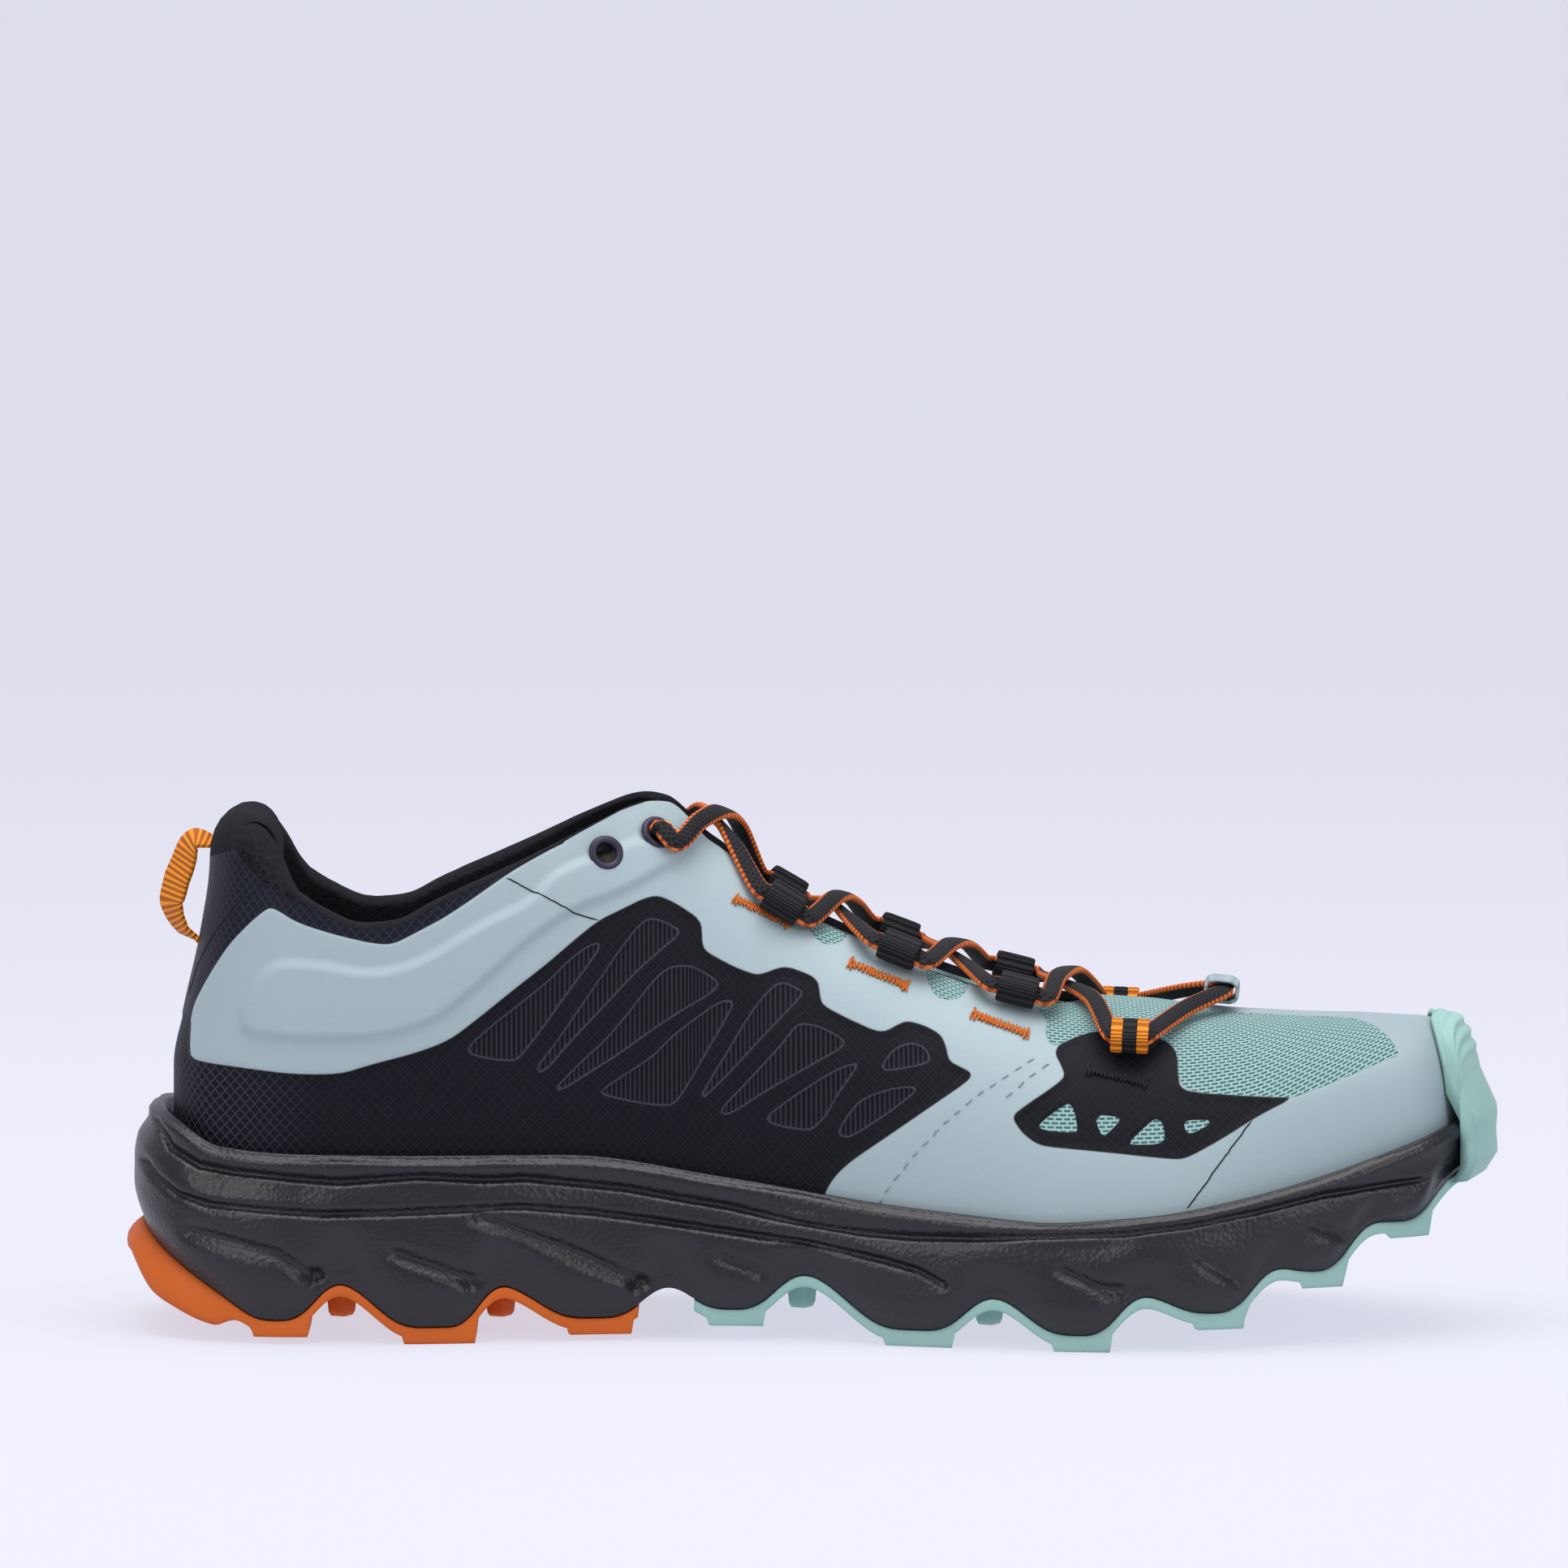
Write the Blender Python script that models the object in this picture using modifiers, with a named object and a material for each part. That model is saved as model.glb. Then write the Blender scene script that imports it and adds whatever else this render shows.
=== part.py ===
# Trail running shoe, left foot: an empty shoe standing on its sole.
# X runs from heel to toe, Y from the inner side (minus) to the outer side, Z up from the floor.
# Every soft form is a loft between unlike sections, worked out from the sizes and tables below.

import bpy
import bmesh
import numpy as np
from mathutils import Matrix, Vector

MM = 0.001

# Overall sizes
SHOE_LENGTH = 290 * MM
BALL_WIDTH = 103 * MM
HEEL_WIDTH = 76 * MM
SOLE_HEIGHT = 40 * MM        # top of the midsole's side beside the heel
TOE_SPRING = 34 * MM         # how far the sole's underside rises to its tip
HEEL_HEIGHT = 110 * MM       # top of the collar at the back
INSTEP_HEIGHT = 112 * MM     # top of the throat
TOE_HEIGHT = 66 * MM         # top of the toe box

# Sole
HEEL_WRAP = 1.4 * MM         # rubber standing out behind the midsole
RUBBER = 3.6 * MM            # outsole under a lug
RUBBER_SKIN = 2.3 * MM       # outsole between the lugs
LUG_STEP = 0.5 * MM          # slope of a lug's end walls
WAVE_DEPTH = 9.4 * MM        # how far the gaps between the pods rise
WAVE_AT_CENTRE = 0.55        # share of the wave left along the middle of the sole
BOTTOM_TUCK = 2.2 * MM       # how far the pods' lower edge lies inside the outline
RIM_LEAN = 5.3 * MM          # how far the midsole's wall leans in to its top at the heel
RIM_LIP = 1.9 * MM           # thickness of the midsole's wall at its top
BEAD = 6.0 * MM              # height of the bead along that wall
INNER_LUG = (5 * MM, 6 * MM)  # length and width of the small lugs in the gaps
BUMPER_WALL = 3.6 * MM       # toe bumper

# Upper and what is in it
UPPER_WALL = 2.0 * MM
COLLAR_PAD = 9.0 * MM        # extra wall at the back of the collar
SIDE_PAD = 4.5 * MM          # extra wall at the sides of the collar
PAD_DROP = 34 * MM           # how far down the padding reaches
HEEL_CURVE = 8.6 * MM        # how far the back of the upper leans forward at its top
TOE_ROUND = 12 * MM          # how far the toe box rounds back at its top
SIDE_BULGE = 1.6 * MM
INSOLE = 4.0 * MM
TONGUE = 3.2 * MM
TONGUE_OVERLAP = 9 * MM      # how far the tongue runs on under the facings
FIT = 0.3 * MM               # gap between pieces that meet
CUP_FIT = 0.6 * MM          # gap between the upper and the midsole's wall

# Lacing
LACE_WIDTH = 4.2 * MM
LACE_THICKNESS = 2.0 * MM
LOOP_LENGTH = 8.2 * MM       # lace loops, measured along the throat
LOOP_WEBBING = 0.9 * MM
EYELET_RADIUS = 3.8 * MM
EYELET_HOLE = 2.1 * MM
EYELET_BARREL = 0.6 * MM
EYELET_FLANGE = 0.8 * MM
PULL_WIDTH = 10 * MM
PULL_WEBBING = 1.3 * MM
PULL_BULGE = 7.5 * MM        # how far the pull loop stands out from the heel

PLAN_LENGTH = SHOE_LENGTH - HEEL_WRAP - BUMPER_WALL - FIT

# Outline of the sole: share of the plan's length, then shares of half the heel's and the ball's width
PLAN = [
    {"at": 0.000, "inner heel": 0.00, "inner ball": 0.00, "outer heel": 0.00, "outer ball": 0.00},
    {"at": 0.012, "inner heel": 0.50, "inner ball": 0.00, "outer heel": 0.50, "outer ball": 0.00},
    {"at": 0.050, "inner heel": 0.84, "inner ball": 0.00, "outer heel": 0.84, "outer ball": 0.00},
    {"at": 0.120, "inner heel": 1.00, "inner ball": 0.00, "outer heel": 1.00, "outer ball": 0.00},
    {"at": 0.200, "inner heel": 1.00, "inner ball": 0.00, "outer heel": 0.99, "outer ball": 0.00},
    {"at": 0.290, "inner heel": 0.70, "inner ball": 0.17, "outer heel": 0.75, "outer ball": 0.18},
    {"at": 0.380, "inner heel": 0.40, "inner ball": 0.33, "outer heel": 0.45, "outer ball": 0.42},
    {"at": 0.480, "inner heel": 0.20, "inner ball": 0.51, "outer heel": 0.20, "outer ball": 0.66},
    {"at": 0.580, "inner heel": 0.00, "inner ball": 0.80, "outer heel": 0.00, "outer ball": 0.91},
    {"at": 0.680, "inner heel": 0.00, "inner ball": 0.94, "outer heel": 0.00, "outer ball": 1.01},
    {"at": 0.760, "inner heel": 0.00, "inner ball": 0.98, "outer heel": 0.00, "outer ball": 1.00},
    {"at": 0.840, "inner heel": 0.00, "inner ball": 0.89, "outer heel": 0.00, "outer ball": 0.87},
    {"at": 0.910, "inner heel": 0.00, "inner ball": 0.75, "outer heel": 0.00, "outer ball": 0.65},
    {"at": 0.965, "inner heel": 0.00, "inner ball": 0.59, "outer heel": 0.00, "outer ball": 0.38},
    {"at": 0.990, "inner heel": 0.00, "inner ball": 0.37, "outer heel": 0.00, "outer ball": 0.15},
    {"at": 1.000, "inner heel": 0.00, "inner ball": 0.11, "outer heel": 0.00, "outer ball": -0.11},
]

# Side view of the midsole: shares of the sole's height and the toe spring
SIDE = [
    {"at": 0.000, "rim sole": 1.25, "rim toe": 0.00, "bed sole": 0.60, "bed toe": 0.00, "lean": 1.00},
    {"at": 0.035, "rim sole": 1.14, "rim toe": 0.00, "bed sole": 0.59, "bed toe": 0.00, "lean": 1.00},
    {"at": 0.070, "rim sole": 1.02, "rim toe": 0.00, "bed sole": 0.58, "bed toe": 0.00, "lean": 0.95},
    {"at": 0.150, "rim sole": 0.99, "rim toe": 0.00, "bed sole": 0.57, "bed toe": 0.00, "lean": 0.85},
    {"at": 0.320, "rim sole": 0.98, "rim toe": 0.00, "bed sole": 0.56, "bed toe": 0.00, "lean": 0.75},
    {"at": 0.440, "rim sole": 0.86, "rim toe": 0.00, "bed sole": 0.52, "bed toe": 0.00, "lean": 0.75},
    {"at": 0.550, "rim sole": 0.74, "rim toe": 0.00, "bed sole": 0.47, "bed toe": 0.00, "lean": 0.70},
    {"at": 0.660, "rim sole": 0.67, "rim toe": 0.00, "bed sole": 0.42, "bed toe": 0.00, "lean": 0.65},
    {"at": 0.740, "rim sole": 0.63, "rim toe": 0.08, "bed sole": 0.38, "bed toe": 0.06, "lean": 0.60},
    {"at": 0.820, "rim sole": 0.57, "rim toe": 0.26, "bed sole": 0.32, "bed toe": 0.20, "lean": 0.50},
    {"at": 0.885, "rim sole": 0.50, "rim toe": 0.48, "bed sole": 0.22, "bed toe": 0.54, "lean": 0.36},
    {"at": 0.945, "rim sole": 0.40, "rim toe": 0.76, "bed sole": 0.10, "bed toe": 0.94, "lean": 0.16},
    {"at": 1.000, "rim sole": 0.30, "rim toe": 1.04, "bed sole": 0.05, "bed toe": 1.13, "lean": 0.06},
]

# The pods under the sole, heel to toe: the lug's two ends and the gap in front of it as shares of
# the plan's length, heights as shares of the toe spring, and the gap's share of the wave's depth
PODS = [
    {"lug": 0.099, "lug end": 0.123, "lift": 0.044, "gap": 0.156, "gap lift": 0.00, "wave": 1.02},
    {"lug": 0.210, "lug end": 0.246, "lift": 0.000, "gap": 0.274, "gap lift": 0.00, "wave": 0.94},
    {"lug": 0.331, "lug end": 0.361, "lift": 0.040, "gap": 0.399, "gap lift": 0.00, "wave": 0.85},
    {"lug": 0.434, "lug end": 0.458, "lift": 0.094, "gap": 0.498, "gap lift": 0.07, "wave": 0.92},
    {"lug": 0.564, "lug end": 0.597, "lift": 0.000, "gap": 0.637, "gap lift": 0.00, "wave": 0.82},
    {"lug": 0.687, "lug end": 0.712, "lift": 0.000, "gap": 0.746, "gap lift": 0.00, "wave": 0.92},
    {"lug": 0.790, "lug end": 0.810, "lift": 0.138, "gap": 0.845, "gap lift": 0.20, "wave": 0.75},
    {"lug": 0.869, "lug end": 0.884, "lift": 0.370, "gap": 0.916, "gap lift": 0.48, "wave": 0.64},
    {"lug": 0.933, "lug end": 0.949, "lift": 0.650, "gap": 0.972, "gap lift": 0.70, "wave": 0.60},
]
HEEL_BEVEL = [   # the rising back of the sole: shares of the plan's length and the sole's height
    {"at": 0.000, "under": 0.63, "tread": 0.42},
    {"at": 0.018, "under": 0.50, "tread": 0.24},
    {"at": 0.036, "under": 0.41, "tread": 0.17},
    {"at": 0.055, "under": 0.32, "tread": 0.11},
    {"at": 0.077, "under": 0.22, "tread": 0.07},
]
TIP_LIFT = 1.06              # underside at the very tip, as a share of the toe spring
HEEL_RUBBER_END = 0.377      # shares of the plan's length where the rubber stops at the arch
TOE_RUBBER_START = 0.418
BUMPER_START = 0.982         # share of the plan's length where the toe bumper's sides end
LUG_LEAD = 3.4 * MM          # how far a lug runs on past its pod
LUG_TRAIL = 1.6 * MM

# The upper's sections: shares of the plan's length, the instep's and toe's heights, and how
# square the section is
RIDGE = [
    {"at": 0.000, "instep": 1.23, "toe": 0.00, "square": 2.7},
    {"at": 0.130, "instep": 1.24, "toe": 0.00, "square": 2.6},
    {"at": 0.240, "instep": 1.21, "toe": 0.00, "square": 2.5},
    {"at": 0.320, "instep": 1.13, "toe": 0.00, "square": 2.3},
    {"at": 0.380, "instep": 1.040, "toe": 0.00, "square": 2.1},
    {"at": 0.420, "instep": 0.955, "toe": 0.00, "square": 2.0},
    {"at": 0.465, "instep": 0.850, "toe": 0.00, "square": 2.1},
    {"at": 0.500, "instep": 0.610, "toe": 0.31, "square": 2.2},
    {"at": 0.570, "instep": 0.380, "toe": 0.565, "square": 2.3},
    {"at": 0.630, "instep": 0.215, "toe": 0.755, "square": 2.3},
    {"at": 0.700, "instep": 0.100, "toe": 0.890, "square": 2.2},
    {"at": 0.770, "instep": 0.040, "toe": 0.970, "square": 2.2},
    {"at": 0.840, "instep": 0.010, "toe": 0.990, "square": 2.3},
    {"at": 0.930, "instep": 0.000, "toe": 1.000, "square": 2.5},
    {"at": 1.000, "instep": 0.000, "toe": 1.000, "square": 2.7},
]
# Top of the collar and facing seen from the side: shares of the plan's length and heel's height
COLLAR = [
    {"at": 0.000, "top": 1.000}, {"at": 0.060, "top": 1.000}, {"at": 0.085, "top": 0.985},
    {"at": 0.104, "top": 0.935}, {"at": 0.123, "top": 0.870}, {"at": 0.145, "top": 0.830},
    {"at": 0.175, "top": 0.800}, {"at": 0.200, "top": 0.805}, {"at": 0.225, "top": 0.838},
    {"at": 0.250, "top": 0.868}, {"at": 0.300, "top": 0.925}, {"at": 0.345, "top": 0.980},
    {"at": 0.385, "top": 1.018}, {"at": 0.408, "top": 1.005}, {"at": 0.424, "top": 0.950},
    {"at": 0.430, "top": 1.300}, {"at": 1.000, "top": 1.300},
]
# Half the throat's width: shares of the plan's length and of the throat's own half width
THROAT_HALF = 12 * MM
THROAT = [
    {"at": 0.405, "half": 0.00}, {"at": 0.424, "half": 0.60}, {"at": 0.450, "half": 0.66},
    {"at": 0.476, "half": 0.70}, {"at": 0.560, "half": 0.95}, {"at": 0.649, "half": 1.18},
    {"at": 0.685, "half": 1.05}, {"at": 0.705, "half": 0.60}, {"at": 0.715, "half": 0.00},
]
# How the heel leans forward going up: shares of the heel's height and the heel's curve
BACK = [
    {"up": 0.00, "lean": 0.00}, {"up": 0.50, "lean": 0.00}, {"up": 0.62, "lean": 0.30},
    {"up": 0.75, "lean": 0.68}, {"up": 0.90, "lean": 0.95}, {"up": 1.20, "lean": 1.02},
]
LEAN_END = 0.26              # shares of the plan's length where the lean and the toe's round stop
ROUND_START = 0.78
PAD_END = 0.36

# Where the lacing sits: shares of the plan's length, and shares of the throat's half width
# measured sideways from the ridge; the eyelets' heights are shares of the instep's
LACE_LOOPS = [{"at": 0.477, "half": 1.06}, {"at": 0.561, "half": 1.30}, {"at": 0.650, "half": 1.56}]
EYELETS = [{"at": 0.3545, "up": 0.905}, {"at": 0.3896, "up": 0.936}]
FORE_LOOP = {"at": 0.738, "half": 2.33}
TOE_LOOP = {"at": 0.816, "half": 0.0}
LACE_LIFT = 1.7 * MM         # lace above the upper's surface where it lies low
LACE_OVER = 2.5 * MM         # extra lift of the strand that crosses on top
LACE_STEP = 6.2 * MM         # spacing of the lace's rings where it runs straight
SLEEVE_ROOM = 0.8 * MM       # room round the lace in its loops
TURN = 1.5 * MM              # where the lace turns, beyond the ends of the forefoot loop
TURN_IN = 1.6 * MM
FORE_SLEEVE = 4.2 * MM
TOE_SLEEVE = 11 * MM
TONGUE_ENDS = (0.408, 0.740)
TONGUE_DEPTH = 1.1 * MM      # how far the tongue lies under the upper's wall
# The pull loop's path: shares of its bulge outwards and of its height
PULL = [
    {"out": 0.00, "up": 0.00}, {"out": 0.40, "up": 0.13}, {"out": 0.80, "up": 0.28},
    {"out": 1.00, "up": 0.42}, {"out": 0.97, "up": 0.58}, {"out": 0.80, "up": 0.76},
    {"out": 0.58, "up": 0.93}, {"out": 0.30, "up": 1.00}, {"out": 0.00, "up": 0.96},
]
PULL_LOW = 0.735             # foot of the pull loop, as a share of the heel's height
PULL_HEIGHT = 22 * MM

STATIONS = 40                # sections of the upper
SPAN = (-1.0, -0.6, -0.2, 0.2, 0.6, 1.0)  # shares of the half width across the sole


def column(table, name):
    return np.array([row[name] for row in table])


def curve(xs, ys, at):
    """Smooth curve through a table that never swings past its own points."""
    xs, ys, at = (np.asarray(v, float) for v in (xs, ys, at))
    step = np.diff(xs)
    rise = np.diff(ys) / step
    slope = np.zeros_like(ys)
    left, right = rise[:-1], rise[1:]
    same = left * right > 0
    w1, w2 = 2 * step[1:] + step[:-1], step[1:] + 2 * step[:-1]
    mean = np.zeros_like(left)
    mean[same] = (w1 + w2)[same] / (w1[same] / left[same] + w2[same] / right[same])
    slope[1:-1] = mean
    slope[0], slope[-1] = rise[0], rise[-1]
    at = np.clip(at, xs[0], xs[-1])
    k = np.clip(np.searchsorted(xs, at, side="right") - 1, 0, len(step) - 1)
    t = (at - xs[k]) / step[k]
    h = step[k]
    return ((2 * t**3 - 3 * t**2 + 1) * ys[k] + (t**3 - 2 * t**2 + t) * h * slope[k]
            + (3 * t**2 - 2 * t**3) * ys[k + 1] + (t**3 - t**2) * h * slope[k + 1])


def ease(t):
    t = np.clip(t, 0, 1)
    return t * t * (3 - 2 * t)


def share(x):
    return np.clip((np.asarray(x) - HEEL_WRAP) / PLAN_LENGTH, 0, 1)


def turn_of(at):
    """Angle whose cosine gives a share, so that both ends of the plan come out round."""
    return np.arccos(1 - 2 * np.clip(at, 0, 1))


def half_width(side, at):
    name = "inner" if side < 0 else "outer"
    half = (column(PLAN, name + " heel") * HEEL_WIDTH
            + column(PLAN, name + " ball") * BALL_WIDTH) / 2
    return curve(turn_of(column(PLAN, "at")), half, turn_of(at))


def outline(at, inset):
    """Inner and outer edge of the sole's plan at these shares, moved inwards by inset."""
    edges = []
    for side in (-1, 1):
        fine = np.linspace(0, np.pi, 721)
        x = HEEL_WRAP + PLAN_LENGTH * (1 - np.cos(fine)) / 2
        y = side * half_width(side, (1 - np.cos(fine)) / 2)
        y[0] = 0
        dx, dy = np.gradient(x), np.gradient(y)
        dx[0], dy[0] = 0, side
        dx[-1], dy[-1] = 0, -side
        size = np.hypot(dx, dy)
        turn = turn_of(at)
        nx = np.interp(turn, fine, -side * -dy / size)
        ny = np.interp(turn, fine, -side * dx / size)
        move = inset if np.ndim(inset) else np.full(len(turn), inset)
        px = np.interp(turn, fine, x) + nx * move
        py = np.interp(turn, fine, y) + ny * move
        edges.append(np.stack([px, py], axis=1))
    return edges


def side_height(name, x):
    at = share(x)
    heel = curve(column(SIDE, "at"), column(SIDE, name + " sole"), at)
    toe = curve(column(SIDE, "at"), column(SIDE, name + " toe"), at)
    return heel * SOLE_HEIGHT + toe * TOE_SPRING


def rim_lean(at):
    return curve(column(SIDE, "at"), column(SIDE, "lean"), at) * RIM_LEAN


def under_knots():
    """Underside of the midsole along its edge: heel bevel, then pod, gap, pod, gap to the tip."""
    at = list(column(HEEL_BEVEL, "at"))
    height = list(column(HEEL_BEVEL, "under") * SOLE_HEIGHT)
    for pod in PODS:
        base = pod["lift"] * TOE_SPRING + RUBBER
        gap = pod["gap lift"] * TOE_SPRING + RUBBER + pod["wave"] * WAVE_DEPTH
        at += [pod["lug"], pod["lug end"], pod["gap"]]
        height += [base, base, gap]
    return np.array(at + [1.0]), np.array(height + [TIP_LIFT * TOE_SPRING])


def wave_fade(across):
    """Full wave at the edges of the sole, a share of it along the middle."""
    return WAVE_AT_CENTRE + (1 - WAVE_AT_CENTRE) * ease((np.abs(across) - 0.15) / 0.4)


def underside(x, across):
    at, height = under_knots()
    edge = curve(at, height, share(x))
    bases = np.array([pod["lift"] * TOE_SPRING + RUBBER for pod in PODS])
    middles = np.array([(pod["lug"] + pod["lug end"]) / 2 for pod in PODS])
    mean = curve(np.append(middles, 1.0), np.append(bases, TIP_LIFT * TOE_SPRING), share(x))
    mean = mean + 0.35 * WAVE_DEPTH
    fade = wave_fade(across)
    calm = ease((share(x) - HEEL_BEVEL[-1]["at"]) / 0.03) * ease((1 - share(x)) / 0.03)
    return edge + (mean - edge) * (1 - fade) * calm


def tread(x, across):
    """Bottom of the rubber: a skin under the gaps, and a flat lug under each pod."""
    at = share(x)
    bevel = curve(column(HEEL_BEVEL, "at"), column(HEEL_BEVEL, "tread") * SOLE_HEIGHT, at)
    skin = underside(x, across) - FIT - RUBBER_SKIN
    bottom = np.where(at <= HEEL_BEVEL[-1]["at"], bevel, skin)
    fade = wave_fade(across)
    for pod in PODS:
        start = HEEL_WRAP + pod["lug"] * PLAN_LENGTH - LUG_TRAIL
        end = HEEL_WRAP + pod["lug end"] * PLAN_LENGTH + LUG_LEAD
        inside = np.clip(np.minimum(x - start, end - x) / LUG_STEP + 0.5, 0, 1)
        flat = pod["lift"] * TOE_SPRING + (1 - fade) * 0.35 * WAVE_DEPTH
        bottom = np.where(inside > 0, bottom + (np.minimum(flat, bottom) - bottom) * inside, bottom)
    return bottom


def sole_stations(start=0.0, end=1.0):
    """Shares of the plan's length where the sole needs a section."""
    half = LUG_STEP / 2 / PLAN_LENGTH
    ends = (1 - np.cos(np.linspace(0, np.pi, 61))) / 2
    at = list(column(HEEL_BEVEL, "at")) + list(ends[ends < 0.08]) + list(ends[ends > 0.96])
    at += [start, end]
    before = HEEL_BEVEL[-1]["at"]
    for pod in PODS:
        lead, trail = LUG_LEAD / PLAN_LENGTH, LUG_TRAIL / PLAN_LENGTH
        at += [pod["lug"] - trail - half, pod["lug"] - trail + half]
        at += [pod["lug end"] + lead - half, pod["lug end"] + lead + half]
        at += [pod["gap"], (pod["lug end"] + pod["gap"]) / 2 + lead / 2, (before + pod["lug"]) / 2]
        before = pod["gap"]
    at = np.unique(np.round([a for a in at if start <= a <= end], 5))
    return at[np.append(True, np.diff(at) > 0.8 * half)]


def section_of_upper(at, side, up):
    """A point of the upper's outer surface: a squarish arch from the feather to the ridge.
    up runs from 0 at the feather to 1 at the ridge."""
    edges = upper_edges(at)
    foot = edges[0] if side < 0 else edges[1]
    middle_x = (edges[0][:, 0] + edges[1][:, 0]) / 2
    middle = (edges[0][:, 1] + edges[1][:, 1]) / 2
    low = side_height("bed", foot[:, 0]) + FIT
    high = (curve(column(RIDGE, "at"), column(RIDGE, "instep"), at) * INSTEP_HEIGHT
            + curve(column(RIDGE, "at"), column(RIDGE, "toe"), at) * TOE_HEIGHT)
    power = 2 / curve(column(RIDGE, "at"), column(RIDGE, "square"), at)
    turn = up * np.pi / 2
    out, rise = np.cos(turn) ** power, np.sin(turn) ** power
    z = low + (high - low) * rise
    bulge = SIDE_BULGE * np.sin(2 * turn) * np.sin(np.pi * np.clip(at, 0, 1)) ** 0.5
    y = middle + (foot[:, 1] - middle) * out + side * bulge
    lean = HEEL_CURVE * curve(column(BACK, "up"), column(BACK, "lean"), z / HEEL_HEIGHT)
    lean = lean * np.clip(1 - at / LEAN_END, 0, 1) ** 2
    back = TOE_ROUND * (1 - out ** 0.8) * np.clip((at - ROUND_START) / (1 - ROUND_START), 0, 1) ** 2
    x = middle_x + (foot[:, 0] - middle_x) * out + lean - back
    return np.stack([x, y, z], axis=-1)


def upper_edges(at):
    return outline(at, rim_lean(at) + RIM_LIP + CUP_FIT)


def upper_surface(at, side, up):
    """Outer surface at every share in at (rows) and every height in up (columns)."""
    rows = [section_of_upper(at, side, np.broadcast_to(level, at.shape))
            for level in np.moveaxis(np.broadcast_to(up, (len(at), np.shape(up)[-1])), 1, 0)]
    return np.stack(rows, axis=1)


def normals_of(at, side, up):
    """Outward normals of that surface, from small steps along it."""
    small = 1e-3
    ahead = np.clip(at + small, 0, 1)
    behind = np.clip(at - small, 0, 1)
    along = upper_surface(ahead, side, up) - upper_surface(behind, side, up)
    rise = (upper_surface(at, side, np.clip(up + small, 0, 1))
            - upper_surface(at, side, np.clip(up - small, 0, 1)))
    normal = side * np.cross(rise, along)
    for end, way in ((0, -1.0), (-1, 1.0)):
        if at[end] in (0.0, 1.0):
            normal[end] = np.stack([way * rise[end, :, 2], 0 * rise[end, :, 0],
                                    -way * rise[end, :, 0]], axis=-1)
    size = np.linalg.norm(normal, axis=-1, keepdims=True)
    return normal / np.maximum(size, 1e-12)


def crown_share(at):
    """How far the rounded edge stands above its seam, as a share of the wall there."""
    return 0.25 + 0.43 * np.clip(1 - at / 0.12, 0, 1)


def pad_at(at):
    """Extra thickness at the collar: thick at the back, thinner at the sides, gone by the throat."""
    back = COLLAR_PAD * np.clip(1 - at / 0.14, 0, 1) ** 1.2
    return back + SIDE_PAD * ease((PAD_END - at) / 0.10)


def top_edge(at, side):
    """Height share where each section meets the collar or the throat, 1 where it is closed."""
    up = np.linspace(0.0, 1.0, 401)
    points = upper_surface(at, side, up)
    cap = (UPPER_WALL + pad_at(at)) * crown_share(at)
    collar = curve(column(COLLAR, "at"), column(COLLAR, "top"), share(points[..., 0])) * HEEL_HEIGHT
    ridge = points[:, -1:, 1]
    half = curve(column(THROAT, "at"), column(THROAT, "half"), share(points[..., 0])) * THROAT_HALF
    beyond = points[..., 2] > collar - cap[:, None]
    beyond |= np.abs(points[..., 1] - ridge) < half
    first = np.argmax(beyond, axis=1)
    first[~beyond.any(axis=1)] = len(up) - 1
    return up[first]


def place(points):
    """From heel-based measures to the model's frame, centred on the shoe's box."""
    middle = (half_width(1, np.array([0.7]))[0] - half_width(-1, np.array([0.76]))[0]) / 2
    return np.asarray(points) - np.array([SHOE_LENGTH / 2, middle, 0.0])


def material(name, colour, roughness):
    made = bpy.data.materials.new(name)
    made.use_nodes = True
    shader = made.node_tree.nodes["Principled BSDF"]
    shader.inputs["Base Color"].default_value = (*colour, 1)
    shader.inputs["Roughness"].default_value = roughness
    made.diffuse_color = (*colour, 1)
    return made


def add_object(name, points, faces, finish, collection, smooth=True):
    """A mesh object from points in the heel-based frame; doubled points are merged."""
    mesh = bpy.data.meshes.new(name)
    mesh.from_pydata([tuple(p) for p in place(points)], [], faces)
    work = bmesh.new()
    work.from_mesh(mesh)
    bmesh.ops.remove_doubles(work, verts=work.verts, dist=2e-5)
    bmesh.ops.dissolve_degenerate(work, edges=work.edges, dist=1e-6)
    bmesh.ops.triangulate(work, faces=work.faces)
    bmesh.ops.recalc_face_normals(work, faces=work.faces)
    work.to_mesh(mesh)
    work.free()
    if smooth:
        mesh.shade_smooth()
        mesh.set_sharp_from_angle(angle=0.7)
    made = bpy.data.objects.new(name, mesh)
    mesh.materials.append(finish)
    collection.objects.link(made)
    return made


def grid_faces(rows, columns, start=0, wrap=False):
    faces = []
    for i in range(rows - 1):
        for j in range(columns if wrap else columns - 1):
            a, b = start + i * columns + j, start + i * columns + (j + 1) % columns
            faces += [(a, b, b + columns), (a, b + columns, a + columns)]
    return faces


def rung_grid(edges, height):
    """Points across a body at each station, from its inner edge to its outer edge."""
    span = (np.array(SPAN) + 1) / 2
    flat = edges[0][:, None] + (edges[1] - edges[0])[:, None] * span[None, :, None]
    across = np.broadcast_to(np.array(SPAN), flat.shape[:2])
    return np.dstack([flat, height(flat[..., 0], across)])


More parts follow.
